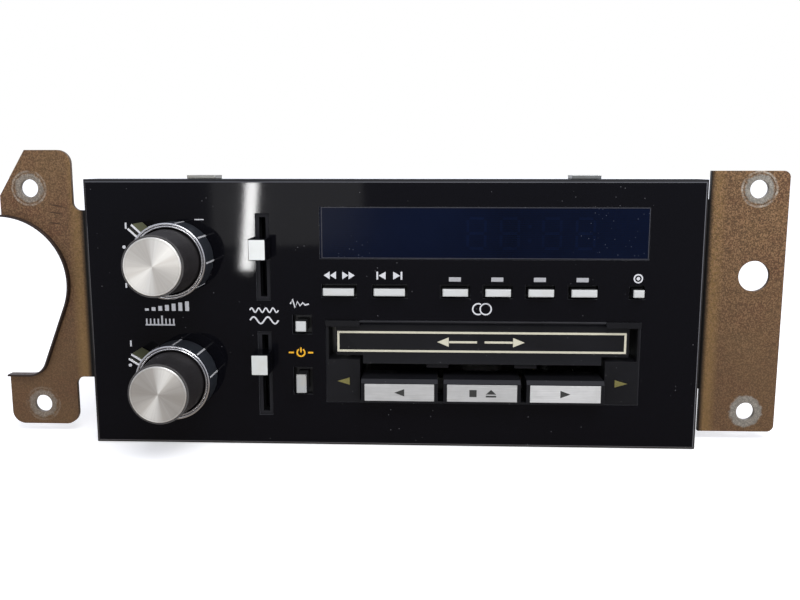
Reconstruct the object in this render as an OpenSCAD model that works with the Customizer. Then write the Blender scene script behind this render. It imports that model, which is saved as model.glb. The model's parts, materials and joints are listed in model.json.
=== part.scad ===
// Car cassette radio: a black nose with twin concentric controls, tone sliders, push keys,
// a cassette door and transport keys, in front of a steel case with two dash brackets.
// X runs to the right, Y into the dash and Z up, from the bottom centre of the whole radio.

/* [Fascia] */
// Width of the fascia
fascia_w = 179; // [172:0.5:196]
// Height of the fascia
fascia_h = 78.9; // [78:0.1:90]
// Depth of the fascia from its face to the case
fascia_depth = 12; // [11.5:0.5:16]
// Thickness of the front plate
fascia_t = 2.5; // [2:0.1:3]
// Thickness of the side walls
fascia_wall = 2.2; // [1.6:0.1:2.8]
// Bevel round the front edge
fascia_bevel = 0.9; // [0.4:0.1:1.4]

/* [Case] */
// How far the case stands out beyond each side of the fascia
case_overhang = 1.5; // [1:0.5:6]
// Step from the top of the fascia down to the top of the case
case_drop = 3.4; // [2:0.1:5]
// Room between the deck motor and the rear of the case
rear_room = 10.1; // [9:0.1:30]
// Thickness of the case sheet
sheet_t = 1; // [0.8:0.1:1.2]
// Depth of the lips folded down from the cover
cover_lip = 9; // [8:0.5:12]
// Width of the two lugs that hold the top of the fascia
lug_w = 8.4; // [5:0.1:14]
// Distance of each lug from the centre line
lug_x = 56; // [40:1:70]
// Reach of the lugs over the fascia
lug_reach = 7; // [3:0.5:9]
// Length of a vent slot in the cover
vent_len = 26; // [12:1:40]
// Width of a vent slot
vent_w = 3; // [2:0.5:5]
// Pitch of the vent slots
vent_pitch = 9; // [7:0.5:11]
// Number of vent slots in a row
vent_count = 14; // [4:1:16]

/* [Brackets] */
// Thickness of the bracket steel
bracket_t = 1.5; // [1:0.1:2]
// Distance of the bracket face behind the fascia face
bracket_y = 10; // [9.5:0.5:14]
// Outside radius of the bracket bend
bend_r = 2.5; // [2.2:0.1:3.5]
// Length of the leg along the side of the case
leg_len = 34; // [26:1:50]
// Diameter of the four dash bolt holes
bolt_d = 5.4; // [4:0.1:6.5]
// Height of the lower bolt holes
bolt_low_z = 9; // [8:0.5:11]
// Height of the upper bolt holes
bolt_high_z = 76; // [74:0.5:77.5]
// Distance of the left bolt holes from the outer edge of their bracket
left_bolt_in = 10; // [8:0.5:13]
// Distance of the right bolt holes from the outer edge of their bracket
right_bolt_in = 8.7; // [6.5:0.1:12]
// Diameter of the locator hole in the right bracket
locator_d = 9.1; // [6:0.1:12]
// Height of the locator hole
locator_z = 50.4; // [30:0.1:60]
// Width of the left bracket beside the case
left_plate_w = 29; // [26:0.5:36]
// Width of the right bracket beside the case
right_plate_w = 24.7; // [22:0.1:32]
// Lower end of the right bracket
right_low_z = 2.7; // [1:0.1:4]
// Upper end of the right bracket
right_high_z = 81.3; // [79.5:0.1:86]
// Width of the sheet between the notch and the case
notch_neck = 8.6; // [6:0.1:14]
// Height of the centre of the notch
notch_z = 47.4; // [44:0.1:49]
// Forward height of the lip round the notch
notch_lip = 1.8; // [1.2:0.1:4]
// Thickness of the lip round the notch
notch_lip_t = 0.6; // [0.5:0.1:1]

/* [Display] */
// Width of the display window
display_w = 94.4; // [70:0.2:98]
// Height of the display window
display_h = 15.1; // [11:0.1:17]
// Height of the centre of the display window
display_z = 63.6; // [62:0.1:65]
// Distance of the display and cassette parts from the centre line
deck_x = 26.4; // [25:0.1:28]

/* [Rotary controls] */
// Distance of the knobs from the sliders
knob_gap = 25.1; // [22:0.1:28]
// Height of the upper knob
upper_knob_z = 56.2; // [54:0.1:60]
// Height of the lower knob
lower_knob_z = 21.2; // [18:0.1:24]
// Distance of the knob face in front of the fascia
knob_front = 22.65; // [18:0.05:28]
// Diameter of the knob at its face
knob_face_d = 16.8; // [16.8:0.1:18.4]
// Diameter of the knob at its base
knob_base_d = 18.8; // [17.2:0.1:19.6]
// Diameter of the metal cap on the knob
cap_d = 15.8; // [12:0.1:16.4]
// Wall of the outer ring round the knob
ring_wall = 0.9; // [0.8:0.1:2]
// Distance of the ring face in front of the fascia
ring_front = 9.6; // [7:0.1:13]
// Radius that the pointer tab of the ring reaches
tab_reach = 14.2; // [12.6:0.1:16]
// Width of the pointer tab
tab_w = 2; // [1.6:0.1:4]
// Number of ribs on the ring
ring_ribs = 9; // [6:1:20]
// Angle of the upper pointer tab, anticlockwise from the right
upper_tab_angle = 137; // [110:1:180]
// Angle of the lower pointer tab, anticlockwise from the right
lower_tab_angle = 148; // [110:1:180]
// Diameter of the inner shaft
shaft_d = 6; // [4:0.1:6.4]
// Wall of the outer sleeve and of the threaded bush
sleeve_wall = 0.8; // [0.6:0.1:1.2]
// Diameter of the control body
control_d = 24; // [19:0.5:28]
// Length of the control body
control_len = 20; // [16:0.5:24]

/* [Tone sliders] */
// Distance of the sliders from the square key
slider_gap = 11.2; // [10.9:0.1:12]
// Height of the centre of the treble slot
treble_z = 56.5; // [54:0.1:57.5]
// Height of the centre of the bass slot
bass_z = 21.9; // [20.5:0.1:24]
// Rest height of the treble slider above the centre of its slot
treble_rest = 2.9; // [-6:0.1:6]
// Rest height of the bass slider above the centre of its slot
bass_rest = 4.4; // [-6:0.1:6]
// Length of the slot
slot_len = 23.2; // [18:0.1:25]
// Width of the slot
slot_w = 1.85; // [1.6:0.05:2.6]
// Border of the recess round the slot
slot_border = 1.1; // [0.5:0.1:1.4]
// Width of the slider cap
slider_w = 5; // [3.6:0.1:7]
// Height of the slider cap
slider_h = 6.1; // [4:0.1:8]
// Distance of the slider face in front of the fascia
slider_front = 8.3; // [6:0.1:11]
// Height of the slider stem
stem_h = 3.2; // [2:0.1:4]

/* [Push keys] */
// Height of the centre of the key row
key_row_z = 46.75; // [45.8:0.05:48]
// Height of a row key
key_h = 2.2; // [1.6:0.1:3]
// Distance of a row key face in front of the fascia
key_front = 2.8; // [1.8:0.1:4]
// Width of the scan and seek keys
tuning_key_w = 9; // [6:0.1:10]
// Width of a preset key
preset_w = 7.3; // [5:0.1:8.5]
// Pitch of the preset keys
preset_pitch = 12.24; // [11.6:0.01:12.6]
// Width of the set key
set_w = 3.1; // [2.2:0.1:4]
// Side of the square key
square_key = 3.1; // [2.4:0.1:3.6]
// Height of the power key
power_h = 5.6; // [4:0.1:6.5]
// Travel of a push key
key_travel = 1.2; // [0.6:0.1:1.6]
// Travel of the power key
power_travel = 2.5; // [1:0.1:2.8]
// Room above and below a row key in its well
key_room = 0.9; // [0.4:0.1:1.2]
// Room round the square key and the power key in their wells
side_key_room = 1.3; // [0.5:0.1:1.6]

/* [Cassette front] */
// Room at each side of a cassette in the mouth
mouth_room = 3.8; // [2.5:0.1:4.2]
// Lower edge of the surround
surround_low_z = 13.4; // [12.4:0.1:14]
// Upper edge of the surround
surround_high_z = 38.05; // [37.6:0.05:38.6]
// Thickness of the lower lip and the upper rail of the surround
surround_rail = 0.65; // [0.5:0.05:0.8]
// Width of the block at each side of the transport keys
side_block_w = 10; // [9:0.1:10.6]
// Upper edge of the side blocks
side_block_z = 26.4; // [25.4:0.1:26.8]
// Thickness of the cassette door
door_t = 1.6; // [1.2:0.1:2]
// Lower edge of the wide part of the door
door_low_z = 27.5; // [27:0.1:29]
// Lower edge of the door tongue
tongue_low_z = 25.1; // [24.6:0.1:25.8]
// Depth of the two lugs under the tongue
tongue_lug = 1.2; // [0.6:0.1:1.6]
// Diameter of the door pivots
pivot_d = 1.1; // [0.8:0.1:1.2]
// Gap between two transport keys
transport_gap = 1.65; // [1:0.05:2.5]
// Height of a transport key
transport_h = 6.9; // [5.6:0.1:7.4]
// Distance of a transport key face in front of the fascia
transport_front = 4.5; // [3.5:0.1:6]
// Travel of a transport key
transport_travel = 4; // [2:0.1:5]

/* [Tape deck] */
// Width of a cassette
cassette_w = 63.9; // [63:0.1:64.5]
// Length of a cassette
cassette_len = 100.4; // [99:0.1:102]
// Height of the cassette space
cassette_h = 12.5; // [12:0.1:12.8]
// Height of the cassette in the mouth
mouth_z = 23; // [22.6:0.1:23.2]
// Drop of the carriage on to the spindles
carriage_drop = 4.5; // [3:0.1:4.8]
// Underside of the deck plate
deck_z = 12; // [11.5:0.1:12.4]
// Thickness of the deck plate
deck_t = 1.2; // [1:0.1:1.5]
// Distance between the two reel spindles
reel_pitch = 42.5; // [40:0.1:44]
// Distance between the two capstans
capstan_pitch = 40; // [39.6:0.1:44]
// Diameter of a capstan
capstan_d = 2.5; // [2:0.1:3]
// Diameter of a flywheel
flywheel_d = 38; // [30:0.5:38]
// Diameter of a pinch roller
roller_d = 10; // [8:0.1:11]
// Travel of the head bridge
bridge_travel = 4.7; // [3:0.1:5]
// Diameter of the deck motor
motor_d = 28; // [24:0.5:30]
// Diameter of the motor pulley
pulley_d = 8; // [6:0.5:10]
// Thickness of the drive belt
belt_t = 1; // [0.8:0.1:1.2]

/* [Hidden] */
$fn = 64;
// Clearances: still faces, parts that slide, parts that turn on a shaft
fit = 0.1;
slide_gap = 0.3;
run_gap = 0.1;

// Levels through the depth of the nose and the case
board_t = 1.6;
board_gap = 0.8;
board_back = fascia_depth - board_gap;
board_face = board_back - board_t;
case_w = fascia_w + 2 * case_overhang;
case_h = fascia_h - case_drop;
case_front = fascia_depth;
deck_front = case_front + sheet_t + 3;
carriage_t = 1;
carriage_front = deck_front - 0.3;
carriage_stop = carriage_front + cassette_len + 0.8;
motor_y = carriage_stop + carriage_t + motor_d / 2 + 4;
motor_rear = motor_y + motor_d / 2;
case_rear = motor_rear + rear_room;
wall_top = case_h - sheet_t;
inner_x = case_w / 2 - sheet_t;
sink_base = 4;
fin_len = 12;
fin_t = 1.6;
fin_count = 10;
fin_pitch = 6.4;
sink_h = 58;
sink_low_z = 8;
sink_x = 52;
rear_end = case_rear + sink_base + fin_len;

// Screws of the case
screw_d = 3.5;
screw_len = 6;
screw_head_t = 2.2;
screw_head_af = 7;
washer_d = 9;
washer_t = 0.8;
screw_hole_d = screw_d + 2 * run_gap;
cover_screw_front = 82;
cover_screw_rear = 14;
cover_screw_ys = [case_front + cover_screw_front, case_rear - cover_screw_rear];
cover_screw_z = wall_top - cover_lip / 2;
vent_front = 54;
vent_row_pitch = 50;
vent_ys = [case_front + vent_front, case_front + vent_front + vent_row_pitch];
cover_lip_front = 30;
cover_lip_rear = 3;

// Brackets
leg_face = case_w / 2;
left_reach = leg_face + left_plate_w;
right_reach = leg_face + right_plate_w;
bolt_left_x = left_reach - left_bolt_in;
bolt_right_x = right_reach - right_bolt_in;
leg_screw_in = 13.6;
leg_screw_y = bracket_y + bend_r + leg_len - leg_screw_in;
leg_screw_end = 9;
left_leg_low_z = 17.7;
left_leg_high_z = 69.4;
right_leg_low_z = 16;
right_leg_high_z = 73;
left_screw_zs = [left_leg_low_z + leg_screw_end, left_leg_high_z - leg_screw_end];
right_screw_zs = [right_leg_low_z + leg_screw_end, right_leg_high_z - leg_screw_end];
plate_edge = leg_face + bend_r - 0.5;
ear_corner = 4;
ear_fillet = 2.4;
plate_corner = 2;
upper_ear_edge = bolt_left_x - 13;
lower_ear_edge = bolt_left_x - 11.1;
upper_ear_tip = bolt_left_x + 0.9;
upper_ear_side = left_reach - 0.8;
upper_ear_low = bolt_high_z - 2.2;
upper_ear_top = bolt_high_z + 11.4;
lower_ear_low = bolt_low_z - 6.5;
lower_ear_high = bolt_low_z + 9.6;
notch_tilt = 21.3;
notch_fillet = 5.5;
notch_centre = [left_reach - 0.3, notch_z];
notch_r = notch_centre[0] - leg_face - notch_neck;
notch_touch = notch_centre - notch_r * [cos(notch_tilt), sin(notch_tilt)];
fillet_z = lower_ear_high + notch_fillet;
fillet_u = notch_touch[0] + tan(notch_tilt) * (notch_touch[1] - fillet_z) + notch_fillet / cos(notch_tilt);

// Rotary controls
cap_t = 0.75;
cap_inset = 0.5;
knob_rear = -3.2;
ring_rear = -0.5;
ring_floor = -2.6;
ring_in_d = knob_base_d + 3 * slide_gap;
ring_d = ring_in_d + 2 * ring_wall;
rib_w = 0.5;
rib_h = 0.2;
rib_back = 0.9;
tab_back = 0.3;
tab_groove = 0.9;
tab_groove_w = 1;
tab_groove_out = 0.2;
sleeve_d = shaft_d + 2 * run_gap + 2 * sleeve_wall;
bush_bore = sleeve_d + 2 * run_gap;
bush_d = bush_bore + 2 * sleeve_wall;
bush_front = fascia_t + 2.5;
control_front = case_front + sheet_t;
sleeve_end = control_front + 4;
shaft_end = control_front + control_len - 5;
shaft_start = 7 - knob_front;
shaft_fit = 0.02;
control_foot_w = 16;
control_foot = 3;
nut_af = bush_d + 4;
nut_t = 2.2;
fascia_bore = sleeve_d + 2 * slide_gap;

// Tone sliders
slider_rear = -0.7;
stem_w = slot_w - 2 * slide_gap;
stem_end = fascia_t + 4;
slide_case_front = fascia_t + 1.7;
slide_case_w = 8;
slide_case_len = slot_len + 10.8;
slide_slot_depth = stem_end - slide_case_front + 0.5;
slot_recess = 0.6;

// Push keys: centre across and up, width, height, front, travel, and room at the sides and ends
flange_gap = slide_gap;
flange_t = 1;
flange_rim = 0.8;
key_stub = 0.5;
key_stub_w = 2;
key_bevel = 0.3;
scan_x = -15.2;
seek_x = -0.5;
preset_x = 18.45;
set_x = 70.55;
side_key_gap = 6.85;
surround_w = cassette_w + 2 * mouth_room + 2 * side_block_w;
side_key_x = deck_x - surround_w / 2 - side_key_gap;
slider_x = slider_gap - side_key_x;
knob_x = slider_x + knob_gap;
square_key_z = 36.7;
square_front = 3.3;
power_key_z = 19.8;
power_w = 3.05;
power_front = 4;
key_rear = fascia_t + flange_gap + flange_t + key_stub;
switch_side = 4.4;
plunger_d = 2;
plunger_len = 0.7;

row_side_room = 0.65;
function row_key(x, w) = [x, key_row_z, w, key_h, key_front, key_travel, row_side_room, key_room];
scan_key = row_key(scan_x, tuning_key_w);
seek_key = row_key(seek_x, tuning_key_w);
function preset_key(n) = row_key(preset_x + n * preset_pitch, preset_w);
set_key = row_key(set_x, set_w);
noise_key = [
    side_key_x, square_key_z, square_key, square_key, square_front, key_travel, side_key_room, side_key_room,
];
power_key = [
    side_key_x, power_key_z, power_w, power_h, power_front, power_travel, side_key_room, side_key_room,
];
all_keys = concat([scan_key, seek_key], [for (n = [0:3]) preset_key(n)], [set_key, noise_key, power_key]);

// Front board: an upper field and a left leg beside the cassette surround
board_left = -slider_x - 8.6;
board_right = 84;
board_low_z = 6;
board_step_z = surround_high_z + 3;
board_high_z = fascia_h - fascia_wall - 1.2;
board_leg_right = deck_x - surround_w / 2 - 2.2;
post_d = 4;
post_inset = 2.3;
board_posts = [
    [board_left + post_inset, board_low_z + post_inset],
    [board_left + post_inset, board_high_z - post_inset],
    [board_right - post_inset, board_high_z - post_inset],
    [board_right - post_inset, board_step_z + post_inset],
];

// Display
lens_rim = 1.5;
lens_inset = 0.1;
lens_rim_t = 1;
tube_margin = 4;
tube_front = fascia_t + lens_rim_t + 0.5;

// Cassette surround and door
surround_front = -0.3;
surround_rear = 9;
surround_rim = 1.5;
surround_rim_t = 1;
surround_bevel = 0.3;
surround_h = surround_high_z - surround_low_z;
corner_drop = 1.65;
corner_front = -0.7;
corner_rear = 0.2;
side_wall = 0.9;
door_gap = 2.1;
door_front = 1;
door_rear = door_front + door_t;
door_half = surround_w / 2 - side_wall - door_gap;
door_high_z = surround_high_z - surround_rail - slide_gap;
mouth_half = surround_w / 2 - side_block_w;
tongue_half = mouth_half - 3 * slide_gap;
tongue_flare = 0.6;
tongue_lug_w = 6.5;
tongue_lug_out = 0.9;
pivot_y = door_front + door_t / 2;
pivot_z = door_high_z - door_t / 2;
pivot_in = door_gap + side_wall - fit;
arrow_len = 3.7;
arrow_h = 2.25;
arrow_z = 19.85;
arrow_in = 5.15;
arrow_depth = 3;

// Transport keys
transport_side_gap = 0.65;
transport_w = 2 * (mouth_half - transport_side_gap - transport_gap) / 3;
transport_pitch = transport_w + transport_gap;
transport_low_z = surround_low_z + surround_rail + slide_gap + 0.15;
transport_rear = case_front - transport_travel;
transport_bevel = 1;
plate_w = transport_w - 2.1;
plate_h = transport_h - 1.9;
plate_t = 0.5;
plate_inset = 0.4;
lever_w = 6;
lever_h = 1.6;
lever_z = transport_low_z + 0.2;
lever_end = 26;

// Tape deck
deck_top = deck_z + deck_t;
deck_rear = motor_rear + 2.1;
deck_window_half = mouth_half + 3.75;
carriage_room = 1.2;
guide_z = mouth_z - carriage_drop - carriage_t - 0.4;
carriage_half = cassette_w / 2 + carriage_room;
carriage_low = mouth_z - carriage_t;
carriage_top = mouth_z + cassette_h;
carriage_lip = 8;
carriage_window_in = 17.5;
carriage_window = [carriage_front + carriage_window_in, carriage_stop - carriage_window_in];
carriage_window_h = carriage_drop + 2;
post_guide_d = 3;
post_guide_x = deck_x - carriage_half - 3.2;
post_guide_in = 14;
post_guide_ys = [deck_front + post_guide_in, carriage_stop - post_guide_in - 2.9];
deck_left = post_guide_x - post_guide_d / 2 - 1.15;
post_guide_top = carriage_top + 3;
ear_h = 3;
tape_mid_y = carriage_front + cassette_len / 2 + 0.5;
tape_edge_x = deck_x + cassette_w / 2;
reel_in = 29.6;
reel_x = tape_edge_x - reel_in;
capstan_in = 7;
capstan_x = tape_edge_x - capstan_in;
reel_ys = [tape_mid_y - reel_pitch / 2, tape_mid_y + reel_pitch / 2];
capstan_ys = [tape_mid_y - capstan_pitch / 2, tape_mid_y + capstan_pitch / 2];
spindle_top = mouth_z - 0.7;
bearing_d = 6;
bearing_top = deck_top + 2.8;
flywheel_low = 4;
flywheel_high = 10;
flywheel_hub_d = 8;
reel_pin_d = 2;
reel_base_d = 14;
reel_hub_d = 5.6;
reel_fins = 6;
reel_cap = 1;
reel_base_t = 2.2;
fin_root = 0.8;
fin_reach = 1.2;
fin_w = 1;
bridge_low = deck_top + slide_gap;
bridge_t = 1.2;
bridge_top = bridge_low + bridge_t;
roller_x = capstan_x + capstan_d / 2 + roller_d / 2 + slide_gap + bridge_travel;
roller_low = bridge_top + 1.8;
roller_high = spindle_top + 0.2;
roller_pin_d = 2.4;
roller_seat_d = 4.4;
bridge_left = roller_x - 3;
bridge_w = 22.4;
bridge_right = bridge_left + bridge_w;
deck_right = bridge_right + 2.4;
bridge_half = capstan_pitch / 2 + 11.5;
bridge_pin_d = 3;
bridge_pin_x = bridge_left + 13.4;
bridge_pin_y = bridge_half - 5;
head_w = 12;
head_back = roller_x + 7;
head_nose = roller_x - 2.2;
motor_out = 20;
motor_x = deck_x - motor_out;
motor_h = 24;
motor_shaft_d = 2;
pulley_low = flywheel_low + 0.5;
pulley_high = flywheel_high - 0.5;
pulley_rim = 1;
pulley_rim_t = 0.6;
belt_low = 5.5;
belt_high = 8.5;
belt_gap = 0.15;
belt_steps = 24;
deck_post_d = 6;
deck_post_in = 4;
deck_posts = [
    for (x = [deck_left + deck_post_in, deck_right - deck_post_in])
        for (y = [deck_front + deck_post_in, deck_rear - deck_post_in]) [x, y],
];

// Main board, tuner and rear sockets
main_room = 12;
main_z = carriage_top + main_room;
main_front = control_front + control_len + 6;
main_rear = case_rear - sheet_t - 4;
ledge_reach = 6;
ledge_len = 10;
ledge_t = 1.2;
ledge_front_in = 12;
ledge_rear_in = 22;
ledge_ys = [main_front + ledge_front_in, main_rear - ledge_rear_in];
board_side_gap = 2;
capacitor_d = 10;
capacitor_h = 16;
capacitor_x = -64;
capacitor_pitch = 16;
capacitor_in = 18;
coil_side = 10;
coil_h = 13;
coil_x = 10;
coil_pitch = 15;
coil_in = 30;
tuner_w = 46;
tuner_len = 64;
tuner_h = 26;
tuner_x = -inner_x + 6;
trim_d = 5;
trim_depth = 4;
trim_in = 14;
trim_pitch = 18;
tuner_in = 36;
tuner_y = main_front + tuner_in;
socket_w = 26;
socket_h = 14;
socket_depth = 12;
socket_wall = 1.5;
socket_z = 16;
socket_xs = [-62, -30];
pin_side = 1;
pin_len = 4;
pin_pitch = 4;
aerial_x = -70;
aerial_z = 56;
aerial_flange_d = 16;
aerial_d = 12;
aerial_bore_d = 9;
aerial_len = 14;
aerial_bore = 10;
aerial_pin_d = 3.2;

mid_x = (right_reach - left_reach) / 2;
mid_y = (rear_end - knob_front) / 2;

// Shared shapes
module place() {
    translate([-mid_x, -mid_y, 0]) children();
}

module block(x, y, z) {
    translate([x[0], y[0], z[0]]) cube([x[1] - x[0], y[1] - y[0], z[1] - z[0]]);
}

module along_y(d, y0, y1) {
    translate([0, y0, 0]) rotate([-90, 0, 0]) cylinder(d = d, h = y1 - y0);
}

module along_x(d, x0, x1) {
    translate([x0, 0, 0]) rotate([0, 90, 0]) cylinder(d = d, h = x1 - x0);
}

// A drawing in X and Z, made solid through the depth from y0 to y1
module through(y0, y1) {
    translate([0, y1, 0]) rotate([90, 0, 0]) linear_extrude(y1 - y0) children();
}

// A drawing in Y and Z, made solid from x0 to x1
module across(x0, x1) {
    translate([x0, 0, 0]) rotate([90, 0, 90]) linear_extrude(x1 - x0) children();
}

module up(z0, z1) {
    translate([0, 0, z0]) linear_extrude(z1 - z0) children();
}

module centred(w, h) {
    square([w, h], center = true);
}

module round_rect(x, z, r) {
    translate([x[0] + r, z[0]]) square([x[1] - x[0] - 2 * r, z[1] - z[0]]);
    translate([x[0], z[0] + r]) square([x[1] - x[0], z[1] - z[0] - 2 * r]);
    for (cx = [x[0] + r, x[1] - r], cz = [z[0] + r, z[1] - r]) translate([cx, cz]) circle(r);
}

// A block about the Y axis with its four front edges bevelled
module bevelled(w, h, y0, y1, c) {
    intersection() {
        up(-h / 2, h / 2) polygon([
            [-w / 2, y1], [-w / 2, y0 + c], [c - w / 2, y0], [w / 2 - c, y0], [w / 2, y0 + c], [w / 2, y1],
        ]);
        across(-w / 2, w / 2) polygon([
            [y1, -h / 2], [y0 + c, -h / 2], [y0, c - h / 2], [y0, h / 2 - c], [y0 + c, h / 2], [y1, h / 2],
        ]);
    }
}

module at_knobs() {
    for (z = [upper_knob_z, lower_knob_z]) translate([-knob_x, 0, z]) children();
}

module at_sliders() {
    for (z = [treble_z, bass_z]) translate([-slider_x, 0, z]) children();
}

// Case
module bracket_screw_places() {
    for (z = right_screw_zs) translate([leg_face + bracket_t, leg_screw_y, z]) children();
    for (z = left_screw_zs) mirror([1, 0, 0])
        translate([leg_face + bracket_t, leg_screw_y, z]) children();
}

module cover_screw_places() {
    for (side = [0, 1], y = cover_screw_ys) mirror([side, 0, 0])
        translate([case_w / 2, y, cover_screw_z]) children();
}

module side_screw() {
    along_x(screw_d, -screw_len, washer_t);
    along_x(washer_d, 0, washer_t);
    rotate([0, 90, 0]) cylinder(d = screw_head_af / cos(30), h = screw_head_t, $fn = 6);
}

module side_hole() {
    along_x(screw_hole_d, -screw_len - 1, 1);
}

module case_screws() {
    color("#a9a58f") {
        bracket_screw_places() side_screw();
        cover_screw_places() side_screw();
    }
}

module fascia_lug() {
    block([-lug_w / 2, lug_w / 2], [case_front, case_front + sheet_t], [wall_top, fascia_h + fit + sheet_t]);
    block([-lug_w / 2, lug_w / 2], [case_front - lug_reach, case_front + sheet_t],
        [fascia_h + fit, fascia_h + fit + sheet_t]);
}

module chassis() {
    color("#8b8f8e") difference() {
        union() {
            difference() {
                block([-case_w / 2, case_w / 2], [case_front, case_rear], [0, wall_top]);
                block([-inner_x, inner_x], [case_front + sheet_t, case_rear - sheet_t], [sheet_t, case_h]);
            }
            block([-case_w / 2, case_w / 2], [case_front, case_front + sheet_t], [wall_top, case_h]);
            for (x = [-lug_x, lug_x]) translate([x, 0, 0]) fascia_lug();
            for (side = [0, 1], y = ledge_ys) mirror([side, 0, 0])
                block([inner_x - ledge_reach, inner_x], [y, y + ledge_len], [main_z - ledge_t, main_z]);
        }
        translate([deck_x, 0, 0]) block([-deck_window_half, deck_window_half],
            [case_front - 1, case_front + sheet_t + 1], [deck_z - 8, surround_high_z + 2.4]);
        at_knobs() along_y(bush_d + 2 * fit, case_front - 1, case_front + sheet_t + 1);
        bracket_screw_places() side_hole();
        cover_screw_places() side_hole();
    }
}

module top_cover() {
    color("#9a9d9a") difference() {
        union() {
            block([-case_w / 2, case_w / 2], [case_front + sheet_t + fit, case_rear], [wall_top, case_h]);
            for (side = [0, 1]) mirror([side, 0, 0])
                block([inner_x - fit - sheet_t, inner_x - fit],
                    [case_front + cover_lip_front, case_rear - cover_lip_rear],
                    [wall_top - cover_lip, wall_top]);
        }
        for (i = [0:vent_count - 1], y = vent_ys)
            translate([(i - (vent_count - 1) / 2) * vent_pitch, y, 0]) up(wall_top - 1, case_h + 1) vent();
        cover_screw_places() side_hole();
    }
}

module vent() {
    centred(vent_w, vent_len - vent_w);
    for (s = [-1, 1]) translate([0, s * (vent_len - vent_w) / 2]) circle(d = vent_w);
}

module heat_sink() {
    sink_w = (fin_count - 1) * fin_pitch + fin_t;
    color("#2b2c2e") translate([sink_x - sink_w / 2, case_rear, 0]) up(sink_low_z, sink_low_z + sink_h) {
        square([sink_w, sink_base]);
        for (i = [0:fin_count - 1]) translate([i * fin_pitch, 0]) square([fin_t, sink_base + fin_len]);
    }
}

module wiring_sockets() {
    color("#e6e1d2") for (x = socket_xs) translate([x, case_rear, socket_z]) {
        difference() {
            through(0, socket_depth) centred(socket_w, socket_h);
            through(socket_wall, socket_depth + 1)
                centred(socket_w - 2 * socket_wall, socket_h - 2 * socket_wall);
        }
        for (i = [-2:2], s = [-1, 1]) translate([i * pin_pitch, 0, s * pin_pitch / 2])
            through(socket_wall, socket_wall + pin_len) centred(pin_side, pin_side);
    }
}

module antenna_socket() {
    color("#b9bcc0") translate([aerial_x, case_rear, aerial_z]) difference() {
        union() {
            along_y(aerial_flange_d, 0, 2);
            along_y(aerial_d, 0, aerial_len);
        }
        along_y(aerial_bore_d, aerial_len - aerial_bore, aerial_len + 1);
        along_y(aerial_pin_d, 1, aerial_len);
    }
}

// Dash brackets, drawn outward from the centre line
module bracket_fold() {
    translate([leg_face + bend_r, bracket_y]) square([left_reach, bracket_t]);
    translate([leg_face, bracket_y + bend_r]) square([bracket_t, leg_len]);
    translate([leg_face + bend_r, bracket_y + bend_r]) intersection() {
        difference() {
            circle(bend_r);
            circle(bend_r - bracket_t);
        }
        translate([-bend_r, -bend_r]) square(bend_r);
    }
}

module bracket_sheet(z1) {
    intersection() {
        up(-1, z1 + 1) bracket_fold();
        through(bracket_y - 1, bracket_y + bend_r + leg_len + 1) children();
    }
}

module leg_outline(z0, z1) {
    translate([leg_face - 1, z0]) square([plate_edge - leg_face + 3, z1 - z0]);
}

module right_bracket() {
    color("#8c6d3f") difference() {
        bracket_sheet(right_high_z) {
            round_rect([plate_edge, right_reach], [right_low_z, right_high_z], plate_corner);
            translate([plate_edge, right_low_z])
                square([2 * plate_corner, right_high_z - right_low_z]);
            leg_outline(right_leg_low_z, right_leg_high_z);
        }
        for (z = [bolt_low_z, bolt_high_z]) translate([bolt_right_x, 0, z])
            along_y(bolt_d, bracket_y - 1, bracket_y + bracket_t + 1);
        translate([bolt_right_x, 0, locator_z]) along_y(locator_d, bracket_y - 1, bracket_y + bracket_t + 1);
        bracket_screw_places() side_hole();
    }
}

module notch(grow) {
    touch = notch_centre - (notch_r + grow) * [cos(notch_tilt), sin(notch_tilt)];
    corner = [fillet_u, fillet_z] - (notch_fillet + grow) * [cos(notch_tilt), sin(notch_tilt)];
    far = left_reach + 10;
    translate(notch_centre) circle(notch_r + grow);
    translate([fillet_u, fillet_z]) circle(notch_fillet + grow);
    polygon([
        touch, corner, [fillet_u, fillet_z], [fillet_u, lower_ear_high - grow], [far, lower_ear_high - grow],
        [far, notch_z], notch_centre,
    ]);
}

// Fills the inside corner where an ear meets the edge of the leg at height z
module ear_root(edge, z, side) {
    translate([edge - ear_fillet, z]) difference() {
        translate([0, side > 0 ? -1 : -ear_fillet]) square(ear_fillet + 1);
        translate([0, side * ear_fillet]) circle(ear_fillet);
    }
}

module left_outline() {
    ear_root(upper_ear_edge, left_leg_high_z, 1);
    ear_root(lower_ear_edge, left_leg_low_z, -1);
    translate([upper_ear_edge + ear_corner, upper_ear_top - ear_corner]) circle(ear_corner);
    polygon([
        [plate_edge, left_leg_high_z], [upper_ear_edge, left_leg_high_z],
        [upper_ear_edge, upper_ear_top - ear_corner],
        [upper_ear_edge + ear_corner, upper_ear_top - ear_corner],
        [upper_ear_edge + ear_corner, upper_ear_top], [upper_ear_tip, upper_ear_top],
        [upper_ear_side, upper_ear_low], [upper_ear_side, notch_z], [plate_edge, notch_z],
    ]);
    round_rect([lower_ear_edge, left_reach], [lower_ear_low, notch_z], ear_corner);
    leg_outline(left_leg_low_z, left_leg_high_z);
    translate([plate_edge, left_leg_low_z])
        square([lower_ear_edge + ear_corner - plate_edge, notch_z - left_leg_low_z]);
}

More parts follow.
